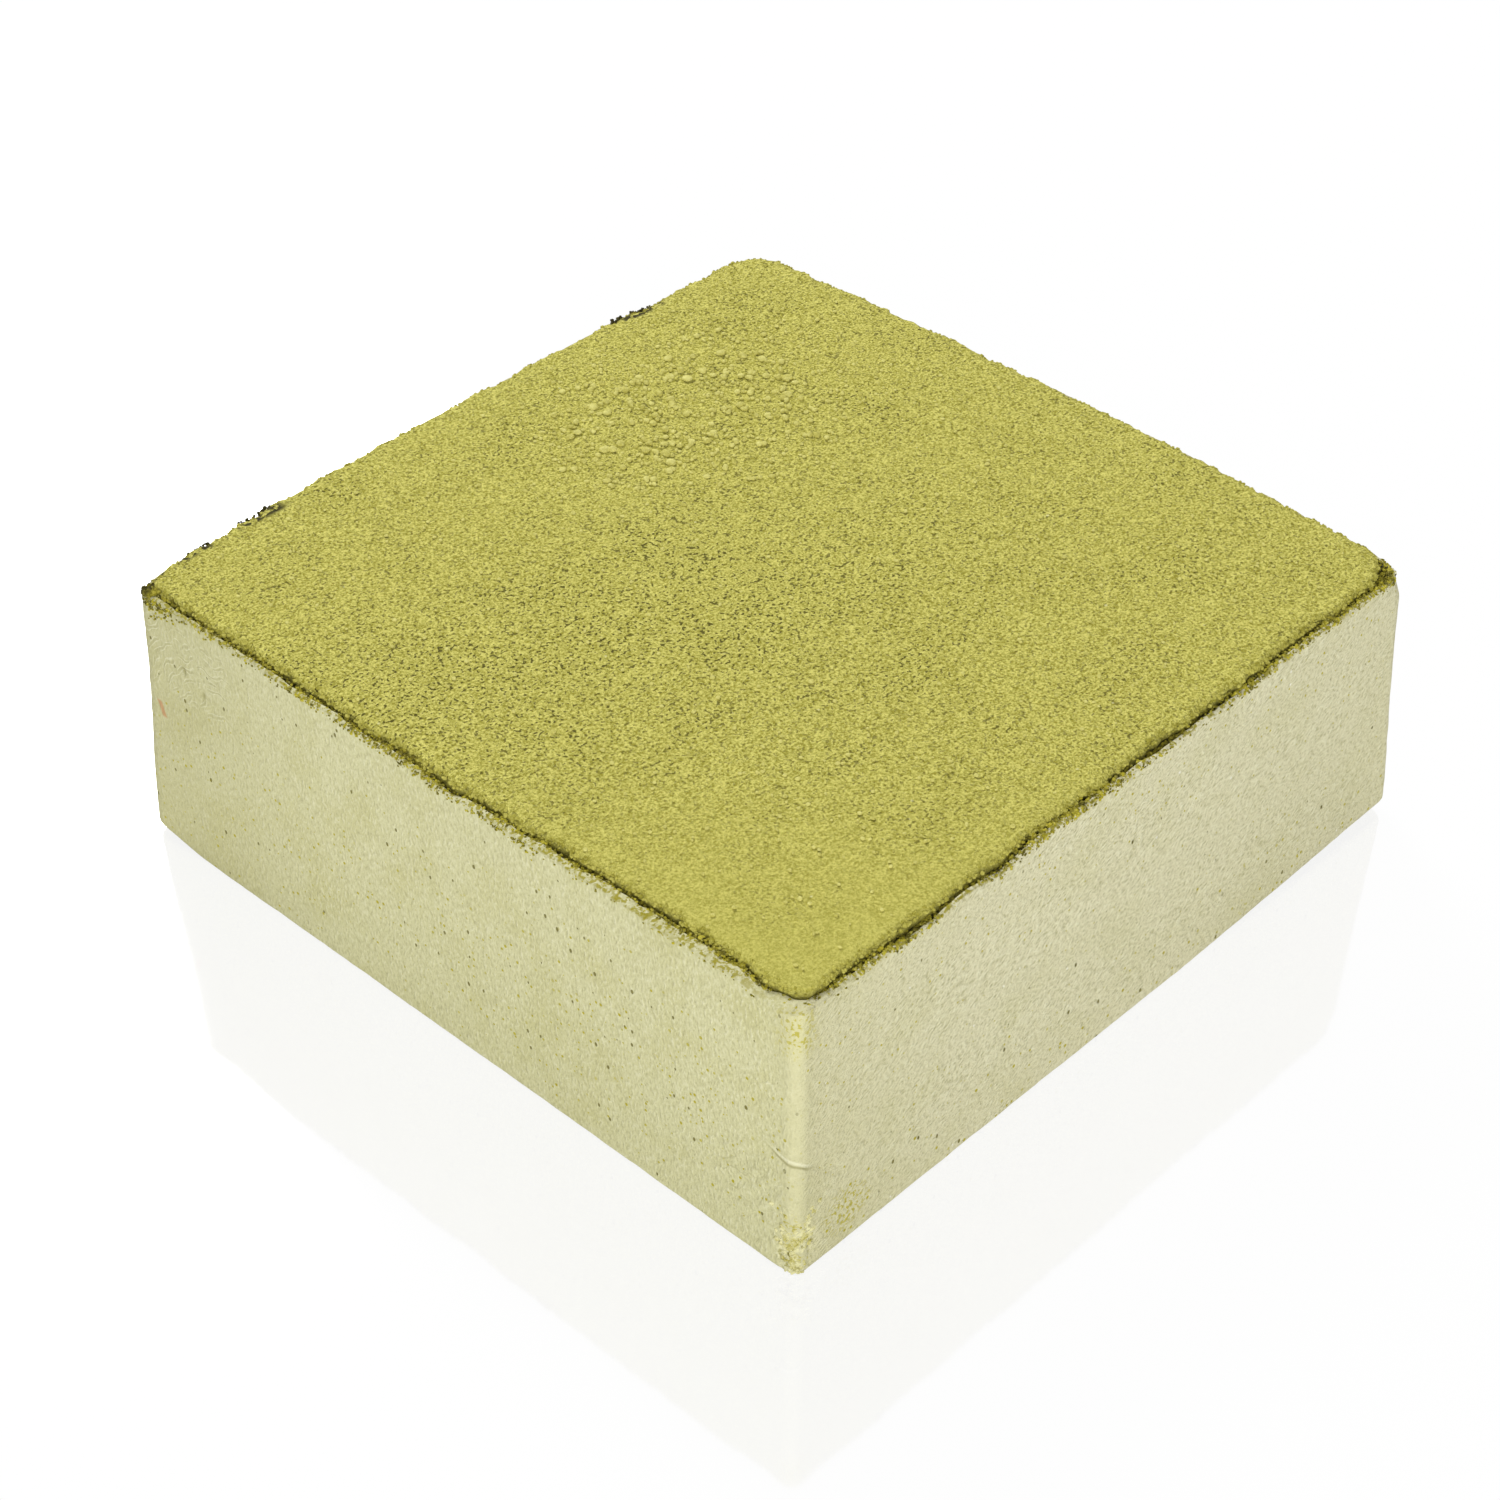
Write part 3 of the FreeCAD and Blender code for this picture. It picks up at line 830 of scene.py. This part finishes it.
seam_grains = crumbs_piece("seam_grains", LUMPS, lay(seam_places, with_lip=True), 32)
rim_lumps = lay(lip_places, with_lip=True) + lay(spilled)
rim_crumbs = crumbs_piece("rim_crumbs_lying", LUMPS, rim_lumps, 33)
edge_crumbs = crumbs_piece("edge_crumbs", LUMPS, lay(edge_places, on_skin=False, with_lip=True), 34)
foot_rubble = crumbs_piece("foot_rubble", LUMPS, lay(foot_places), 35)
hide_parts("rim_crumbs")
for grains, slot in (
    (seam_grains, "dark_core"),
    (rim_crumbs, "rim_crumb"),
    (edge_crumbs, "face_crumb"),
    (foot_rubble, "moulded_skin"),
):
    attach(grains, "root")

# %% [markdown]
# ## Shader maths in plain Python
#
# A material is a graph of nodes. Writing each Math node by hand hides the idea, so a small
# class wraps a socket and lets Python's own signs build the nodes. A second class holds one
# material and makes every other node.


# %% Two small classes
def sign(operation):
    """A method of Value that adds one Math node."""
    return lambda self, other: self.math(operation, other)


class Value:
    """A number that changes over the surface."""

    def __init__(self, tree, socket):
        self.tree, self.socket = tree, socket

    def math(self, operation, *others, clamp=False):
        node = self.tree.nodes.new("ShaderNodeMath")
        node.operation, node.use_clamp = operation, clamp
        for slot, item in zip(node.inputs, (self, *others)):
            if isinstance(item, Value):
                self.tree.links.new(item.socket, slot)
            else:
                slot.default_value = item
        return Value(self.tree, node.outputs[0])

    __add__ = __radd__ = sign("ADD")
    __sub__ = sign("SUBTRACT")
    __mul__ = __rmul__ = sign("MULTIPLY")
    __truediv__ = sign("DIVIDE")
    __pow__ = sign("POWER")
    most = sign("MAXIMUM")

    def __rsub__(self, other):
        return (self * -1) + other

    def clipped(self):
        return self.math("ADD", 0.0, clamp=True)

    def over(self, start, end):
        """0 at start, 1 at end, clipped."""
        return ((self - start) / (end - start)).clipped()

    def peak(self, middle, reach):
        """1 at the middle, 0 a reach away on either side, and less beyond."""
        return 1 - ((self - middle) / reach).math("ABSOLUTE")


class Finish:
    """One material, made of nodes."""

    def __init__(self, name):
        self.material = bpy.data.materials.new(name)
        self.material.use_nodes = True
        self.tree = self.material.node_tree
        self.shader = self.tree.nodes["Principled BSDF"]
        self.place = self.node("ShaderNodeTexCoord").outputs["Object"]
        axes = self.node("ShaderNodeSeparateXYZ", Vector=self.place).outputs
        self.x, self.y, self.z = (Value(self.tree, axis) / MM for axis in axes)

    def node(self, kind, settings=(), **inputs):
        """Any node: its settings first, then what goes into its sockets."""
        node = self.tree.nodes.new(kind)
        for setting, chosen in dict(settings).items():
            setattr(node, setting, chosen)
        for name, item in inputs.items():
            self.feed(node.inputs[name.replace("_", " ")], item)
        return node

    def feed(self, slot, item):
        if isinstance(item, Value):
            item = item.socket
        if isinstance(item, bpy.types.NodeSocket):
            self.tree.links.new(item, slot)
        else:
            slot.default_value = item

    def stretched(self, x, y, z):
        """The place, scaled along each axis."""
        settings = {"operation": "MULTIPLY"}
        node = self.node("ShaderNodeVectorMath", settings)
        self.feed(node.inputs[0], self.place)
        node.inputs[1].default_value = (x, y, z)
        return node.outputs[0]

    def noise(self, width, detail=2.0, place=None, rough=0.5):
        """Noise from 0 to 1 whose bumps are about as wide as given, in mm."""
        place = place or self.place
        node = self.node(
            "ShaderNodeTexNoise", Vector=place, Scale=1 / (width * MM), Detail=detail, Roughness=rough
        )
        return Value(self.tree, node.outputs[0])

    def specks(self, spacing, size, share, place=None):
        """Round specks: a share of the cells has one. size is a part of the spacing."""
        node = self.node("ShaderNodeTexVoronoi", Vector=place or self.place, Scale=1 / (spacing * MM))
        chosen = self.node("ShaderNodeSeparateColor", Color=node.outputs["Color"])
        away = Value(self.tree, node.outputs["Distance"])
        picked = Value(self.tree, chosen.outputs[0]).over(share + 0.02, share)
        radius = Value(self.tree, chosen.outputs[1]) * size * 0.6 + size * 0.4
        return ((radius - away) * (7 / size)).clipped() * picked

    def mix(self, share, first, second):
        """One colour over another, by a share."""
        node = self.node("ShaderNodeMix", {"data_type": "RGBA"})
        self.feed(node.inputs[0], share)
        for slot, colour in ((node.inputs[6], first), (node.inputs[7], second)):
            self.feed(slot, (*colour, 1) if isinstance(colour, tuple) else colour)
        return node.outputs[2]

    def relief(self, height, depth):
        """Bumps: the height goes from 0 to 1, and the depth is in mm."""
        bump = self.node("ShaderNodeBump", Height=height, Distance=depth * MM, Strength=1.0)
        self.feed(self.shader.inputs["Normal"], bump.outputs[0])

    def paint(self, share, tint):
        """Lays a tint over the colour so far, by a share."""
        self.colour = self.mix(share, self.colour, tint)

    def finish(self, roughness):
        self.feed(self.shader.inputs["Base Color"], self.colour)
        self.feed(self.shader.inputs["Roughness"], roughness)
        self.shader.inputs["Specular IOR Level"].default_value = 0.15

    def dress(self, piece):
        piece.data.materials.clear()
        piece.data.materials.append(self.material)


# %% [markdown]
# ## Bare powder
#
# The drawing face is powder: matt, grained at about a fifth of a millimetre, yellow-green, with
# pores in a broad band across the middle, which are painted dark as shade. Its colour follows the
# same noise as its bumps: hollows are painted darker and tops lighter, as painted shade and highlight over
# the powder's own mottling.

# %% Powder of the drawing face
POWDER = (0.55, 0.512, 0.113)
POWDER_PALE_AND_HIGHLIGHT = (0.775, 0.728, 0.19)
POWDER_DARK_AND_SHADE = (0.335, 0.305, 0.038)
PORE_SHADE = (0.085, 0.075, 0.012)
CORE = (0.12, 0.107, 0.024)

powder = Finish("powder_face_finish")
grain = powder.noise(0.19, 3.0, rough=0.65)
clumps = powder.noise(0.9, 2.0)
clouds = powder.noise(6.0, 3.0)
band = (powder.y * 0.92 + powder.x * 0.3).peak(-1.5, 15.0).clipped() * powder.x.over(20, -4)
smooth = ((powder.y * -1 - powder.x - 34) / 26.0).clipped()
porous = (band * 0.5 + clouds.over(0.46, 0.7) * 0.4 + 0.5 - smooth * 0.6).clipped()
pores = powder.noise(0.26, 1.0, rough=0.4).over(0.405, 0.335) * porous
height = grain * 0.9 + clumps * 0.1
contrast = 1.0 - smooth * 0.5
# Hollows of the grain are painted darker and its tops lighter: painted shade and highlight over the powder's
# own tone.
powder.colour = powder.mix(height.over(0.39, 0.61), POWDER_DARK_AND_SHADE, POWDER_PALE_AND_HIGHLIGHT)
powder.colour = powder.mix(contrast, POWDER, powder.colour)
powder.paint(clouds.over(0.35, 0.7) * 0.08, POWDER_DARK_AND_SHADE)
# Painted shade in the pores, which the bump also sinks.
powder.paint(pores * 0.9, PORE_SHADE)
powder.paint(powder.specks(1.5, 0.09, 0.12) * 0.6, (0.78, 0.76, 0.40))
# Painted shade where the face rolls down over its edge, broken by noise and left out near the front left
# corner.
sunk_edge_shade = (powder.noise(0.5, 3.0) * 0.5 + (face_top - 0.45 * MM) / MM - powder.z).over(0.0, 0.5)
sunk_edge_shade = sunk_edge_shade * (powder.x + powder.y + 70).over(2.6, 6.0)
sunk_edge_shade = sunk_edge_shade * (powder.noise(5.0, 2.0).over(0.38, 0.6) * 0.6 + 0.4)
powder.paint(sunk_edge_shade * 0.75, (0.20, 0.18, 0.026))
DARK_STRETCHES = [(-28.4, 2.3), (-22.2, 2.6), (19.3, 2.8)]  # of the back edge: middle and reach, in mm
bitten = sum(powder.x.peak(middle, reach).over(0, 0.3) for middle, reach in DARK_STRETCHES)
bitten = bitten * powder.y.over(32.5, 32.9) * powder.noise(0.7, 2.0).over(0.47, 0.52)
powder.paint(bitten.clipped() * 0.95, (0.035, 0.031, 0.01))
powder.finish(0.95)
powder.relief(height - pores * 0.5, 0.23)
powder.dress(drawing_face)

# %% [markdown]
# ## Moulded skin
#
# The skin is paler and denser than the powder. The left side carries a fine grain drawn up and
# down by the mould, in soft greenish clouds. The others are greyer, with an orange-peel
# surface, tiny pits painted dark as shade, and yellow specks. Grain and peel are coloured partly as painted
# highlight and shade of their own bumps.

# %% Skin of the sides and the base
SKIN_LEFT = (0.62, 0.602, 0.342)
SKIN_FRONT = (0.693, 0.66, 0.432)
SKIN_GREEN = (0.54, 0.515, 0.235)
SKIN_PALE_AND_HIGHLIGHT = (0.80, 0.785, 0.56)
SKIN_DEEP_AND_SHADE = (0.41, 0.39, 0.20)
YELLOW = (0.44, 0.385, 0.03)
BUTTER = (0.62, 0.592, 0.31)
# EDGE is painted shade for the rounded upright edges.
EDGE = (0.565, 0.545, 0.31)
OLIVE = (0.33, 0.29, 0.022)
PIT_SHADE = (0.18, 0.16, 0.035)


def squeezed(made):
    """The place, squeezed in height and then turned, so that the grain is drawn up and down."""
    node = made.node("ShaderNodeMapping", Vector=made.place, Rotation=(0.35, 0.35, 0), Scale=(1, 1, 0.55))
    return node.outputs[0]


def rising(made):
    """The place, drawn out along a line that climbs a little to the right, for the front."""
    drawn = {"Rotation": (0, -0.35, 0), "Scale": (1.8, 1, 0.85)}
    node = made.node("ShaderNodeMapping", {"vector_type": "TEXTURE"}, Vector=made.place, **drawn)
    return node.outputs[0]


skin = Finish("moulded_skin_finish")
front = (skin.x - skin.y).over(-1.2, 1.2)
drag = skin.noise(0.22, 2.0, place=squeezed(skin), rough=0.6)
peel = skin.noise(0.21, 2.0, place=rising(skin), rough=0.65)
left = 1 - front
surface = drag * left + peel * front
clouds = skin.noise(5.5, 3.0)
from_edge = (skin.x + 35).most(0) + (skin.y + 35).most(0)
skin.colour = skin.mix(front, SKIN_LEFT, SKIN_FRONT)
skin.paint(clouds.over(0.48, 0.66) * (0.5 - front * 0.28), SKIN_GREEN)
low_left = ((skin.y - 20) / 12).clipped() * (1 - (skin.z / 9)).clipped() * left
skin.paint(low_left * 0.6, SKIN_GREEN)
# The pale and deep tones follow the bump noise: partly the skin's own mottling, partly painted highlight and
# shade of its bumps.
skin.paint(surface.over(0.52, 0.70) * (0.5 + front * 0.35), SKIN_PALE_AND_HIGHLIGHT)
skin.paint(surface.over(0.48, 0.30) * (0.52 + front * 0.3), SKIN_DEEP_AND_SHADE)
skin.paint((1 - from_edge / 16.0).clipped() * front * 0.35, BUTTER)
skin.paint(((skin.y - 12) / 50.0).clipped() * left, SKIN_DEEP_AND_SHADE)
skin.paint((skin.x / 35) ** 2 * front * 0.2, SKIN_DEEP_AND_SHADE)

# %% Specks, pits, wear and painted shade of the skin
rows = skin.noise(1.3, 2.0, place=skin.stretched(0.3, 0.3, 1.0)).over(0.42, 0.60)
patches = skin.noise(3.0, 2.0).over(0.45, 0.65)
flecks = skin.specks(0.6, 0.26, 0.45) * (rows * 0.8 + patches * 0.7 + 0.3).clipped()
skin.paint(flecks, YELLOW)
short = skin.stretched(1.0, 1.0, 0.7)
# Small pits: dents in the bump, painted dark as shade.
small_pits = skin.specks(1.2, 0.12, 0.45, place=short)
skin.paint(small_pits * 0.9, PIT_SHADE)
skin.paint(skin.specks(1.7, 0.09, 0.35) * 0.7, (0.90, 0.89, 0.80))
# Painted shade on the rounded upright edges, which tones down the light that their bevels catch.
bevel_shade = (from_edge - skin.z * 2 * LEAN + skin.noise(1.5, 3.0) * 6 - 3).over(2.2, 0.9)
skin.paint(bevel_shade * 0.5, EDGE)
dots = skin.noise(0.3, 2.0).over(0.53, 0.58)
butter_patch = from_edge.over(3.6, 1.6) * skin.z.over(19.4, 21.0)
skin.paint(butter_patch * 0.7, BUTTER)
skin.paint(dots * butter_patch * 0.9, YELLOW)
low_patch = skin.x.peak(-29.7, 3.2).clipped() * skin.z.peak(3.2, 2.6).clipped() * front
skin.paint(dots * low_patch.over(0.1, 0.5) * 0.85, YELLOW)
# Painted shade in dark lines along the folds near the front left edge.
fold_shade = (skin.z * 4 + skin.y * 2.6 + skin.noise(1.6, 2.0) * 14).math("SINE").over(0.8, 1.0)
fold_shade = fold_shade * clouds.over(0.44, 0.5)
folded = skin.y.peak(-30.5, 4.5).over(0, 0.5) * skin.z.peak(6, 4).over(0, 0.5) * left
skin.paint(fold_shade * folded * 0.5, SKIN_DEEP_AND_SHADE)
# The crease, along the same line as the one pushed into the wall: a painted shadow along it and a painted
# highlight just above it.
line = skin.z - 10.7 - (skin.y + 33.7).most(0) * 0.2 + (skin.x + 35).most(0) * 0.7
line = line - (skin.noise(2.5, 1.0) - 0.5) * 0.8
near_crease = (1 - (skin.y + 35).most(0) / 4.6 - (skin.x + 35).most(0) / 2.6).over(0, 0.4)
skin.paint(line.peak(0, 0.17).clipped() * near_crease, (0.34, 0.32, 0.15))
skin.paint(line.peak(0.3, 0.2).clipped() * near_crease * 0.7, SKIN_PALE_AND_HIGHLIGHT)
# The swirls: rings about a place on the left side, and the fleck of red beside them.
from_swirl = ((skin.y - 24) ** 2 + (skin.z - 13) ** 2) ** 0.5
ring = ((from_swirl + skin.noise(3.0, 2.0) * 3) * 6.5).math("SINE")
swirled = skin.noise(1.2, 1.0).over(0.42, 0.52) * skin.y.peak(28, 6).over(0, 0.4)
swirled = swirled * skin.z.peak(19, 4).over(0, 0.4) * left
skin.paint(ring.over(0.75, 1.0) * swirled * 0.55, SKIN_DEEP_AND_SHADE)
skin.paint(ring.over(0.1, 0.45) * ring.over(0.8, 0.5) * swirled * 0.5, SKIN_PALE_AND_HIGHLIGHT)
leant = skin.y - 31.7 - (skin.z - 13.3) * 0.4
fleck = leant.peak(0, 0.34).over(0, 0.4) * skin.z.peak(13.3, 0.8).over(0, 0.3)
skin.paint(fleck * left * 0.8, (0.52, 0.27, 0.12))
pits = Value(skin.tree, skin.node("ShaderNodeAttribute", {"attribute_name": "pits"}).outputs["Fac"])
crumbled = Value(skin.tree, skin.node("ShaderNodeAttribute", {"attribute_name": "crumbled"}).outputs["Fac"])
# Painted shade in the pits pushed into the wall, and in smaller deep pits that are only painted.
skin.paint(pits.over(0.3, 1.0) * 0.5, PIT_SHADE)
deep_pit_shade = skin.specks(3.4, 0.05, 0.5, place=short)
skin.paint(deep_pit_shade, (0.13, 0.115, 0.025))
rubble = skin.noise(0.4, 3.0, rough=0.6)
skin.paint(crumbled.over(0.1, 0.5) * rubble.over(0.50, 0.58), (0.74, 0.71, 0.42))
# Painted shade in the hollows between the grains of the crumbled foot.
skin.paint(crumbled.over(0.1, 0.5) * rubble.over(0.46, 0.40) * 0.7, (0.31, 0.28, 0.06))

# %% The skin's crumbly lip
rim_patch = skin.noise(2.6, 2.0).over(0.40, 0.60)
near_lip = skin.z + skin.noise(0.9, 2.0) * 1.6
net = skin.noise(0.38, 2.0).over(0.52, 0.57)
bare = (skin.y - skin.x + 70).over(1.5, 5.0) * (skin.y + skin.x + 70).over(3.5, 8.0)
skin.paint(near_lip.over(24.3, 24.8) * net * bare * (rim_patch * 0.7 + 0.3), OLIVE)
upwards = skin.node("ShaderNodeNewGeometry").outputs["Normal"]
lie = Value(skin.tree, skin.node("ShaderNodeSeparateXYZ", Vector=upwards).outputs["Z"])
covered = lie.over(0.3, 0.8) * skin.z.over(21.8, 22.4) * skin.noise(0.36, 2.0).over(0.50, 0.56)
skin.paint(covered * bare * 0.9, OLIVE)
skin.finish(0.72)
skin.relief((surface - small_pits * 0.6) * (1 + front * 0.8) + rubble * crumbled * 2.0, 0.12)
skin.dress(side_skin)
skin.dress(base_skin)

# %% [markdown]
# ## Core, grains and crumbs
#
# The core is the undiluted dark pigment. The grains in the seam are the same stuff, with some
# lighter dust on them. Crumbs keep the colour of the face that they broke from.


# %% Finishes of the core and the crumbs
def crumb_finish(name, low, high, bright, width, dark_back=0.0):
    """A rough finish whose colour changes from crumb to crumb, and may be darker at the back edge."""
    made = Finish(name)
    patchy = made.noise(width, 2.0)
    fine = made.noise(0.12, 2.0)
    made.colour = made.mix(patchy.over(0.38, 0.62), low, high)
    made.paint(fine.over(0.5, 0.7) * 0.5, bright)
    if dark_back:
        at_back = made.y.over(31.5, 33) * dark_back * patchy.over(0.68, 0.58)
        made.paint(at_back, (0.03, 0.027, 0.01))
    made.finish(0.95)
    made.relief(fine, 0.05)
    return made


CRUMB_FINISHES = [
    (core, "dark_core", (0.09, 0.08, 0.018), CORE, (0.26, 0.23, 0.05), 1.4),
    (seam_grains, "seam_grain", (0.15, 0.13, 0.018), (0.34, 0.30, 0.03), (0.50, 0.45, 0.08), 0.45, 0.9),
    (edge_crumbs, "edge_crumb", (0.30, 0.272, 0.035), (0.50, 0.464, 0.10), POWDER_PALE_AND_HIGHLIGHT, 0.6),
    (rim_crumbs, "rim_crumb", (0.10, 0.088, 0.01), (0.46, 0.405, 0.03), (0.76, 0.70, 0.22), 0.45),
    (face_crumbs, "face_crumb", (0.54, 0.50, 0.12), (0.70, 0.66, 0.21), (0.84, 0.80, 0.32), 0.8),
    (foot_rubble, "foot_rubble", (0.45, 0.405, 0.09), (0.72, 0.69, 0.39), (0.84, 0.82, 0.52), 0.8),
]
for piece, name, *looks in CRUMB_FINISHES:
    crumb_finish(name + "_finish", *looks).dress(piece)
print("finishes:", len(bpy.data.materials))

# %% [markdown]
# ## Floor, light and camera
#
# The block stands on a white, slightly glossy board. The board shows as white, and keeps a
# faint shadow and a faint reflection. Half of the light comes evenly from all round, and the
# rest from a large soft lamp behind and above.



# %% Floor
def looked_at(tree):
    """1 for what is seen, also in a gloss or through glass, and 0 for what only gives light."""
    rays = tree.nodes.new("ShaderNodeLightPath").outputs
    names = ("Is Camera Ray", "Is Glossy Ray", "Is Transmission Ray")
    return sum(Value(tree, rays[name]) for name in names).clipped()


def blend(tree, share, first, second, output=None):
    """Mixes two shaders by a share, and leads the mix to an output where one is named."""
    node = tree.nodes.new("ShaderNodeMixShader")
    for slot, socket in zip(node.inputs, (share.socket, first.outputs[0], second.outputs[0])):
        tree.links.new(socket, slot)
    if output:
        tree.links.new(node.outputs[0], tree.nodes[output].inputs["Surface"])
    return node


floor = new_piece("studio_floor", bpy.ops.mesh.primitive_plane_add, size=6)
board = Finish("white_board")
seen = looked_at(board.tree)
white = board.node("ShaderNodeEmission", Color=(1, 1, 1, 1), Strength=1.0)
paint = board.node("ShaderNodeBsdfDiffuse", Color=(0.9, 0.9, 0.9, 1))
gloss = board.node("ShaderNodeBsdfGlossy", Color=(1, 1, 1, 1), Roughness=0.06)
plain = blend(board.tree, seen * 0.97, paint, white)
blend(board.tree, seen * 0.11, plain, gloss, "Material Output")
board.dress(floor)

# %% World and lamp
world = bpy.data.worlds.new("soft_room")
world.use_nodes = True
bpy.context.scene.world = world
tree = world.node_tree
room = tree.nodes["Background"]
room.inputs["Color"].default_value = (1, 1, 1, 1)
room.inputs["Strength"].default_value = 0.42
shown = tree.nodes.new("ShaderNodeBackground")
shown.inputs["Strength"].default_value = 1.0
shown.inputs["Color"].default_value = (1, 1, 1, 1)
seen = looked_at(tree)
blend(tree, seen, room, shown, "World Output")


def soft_lamp(name, place, size, power):
    """A square lamp that points at the block."""
    lamp = bpy.data.lights.new(name, "AREA")
    lamp.size, lamp.energy = size, power
    holder = bpy.data.objects.new(name, lamp)
    bpy.context.collection.objects.link(holder)
    holder.location = place
    holder.rotation_euler = (Vector((0, 0, 0.012)) - Vector(place)).to_track_quat("-Z", "Y").to_euler()


soft_lamp("lamp_behind", (0.32, 0.62, 0.50), 0.3, 6.6)
soft_lamp("lamp_front", (-0.42, -0.46, 0.20), 0.45, 3.0)

# %% [markdown]
# The camera looks down at one upright edge from the front left.

# %% Camera
azimuth, elevation, roll = math.radians(-46.562), math.radians(38.934), math.radians(0.099)
level = math.cos(elevation)
back = Vector((math.sin(azimuth) * level, -math.cos(azimuth) * level, math.sin(elevation)))
right = Vector((0, 0, 1)).cross(back).normalized()
up = back.cross(right)
right, up = right * math.cos(roll) + up * math.sin(roll), up * math.cos(roll) - right * math.sin(roll)
lens = bpy.data.cameras.new("camera")
lens.lens, lens.sensor_width = 79.127, 36
lens.clip_start = 0.01
camera = bpy.data.objects.new("camera", lens)
bpy.context.collection.objects.link(camera)
place = Vector((-147.57, -137.293, 169.471)) * MM
axes = Matrix((right, up, back)).transposed().to_4x4()
camera.matrix_world = Matrix.Translation(place) @ axes
bpy.context.scene.camera = camera
bpy.context.scene.view_settings.view_transform = "Standard"
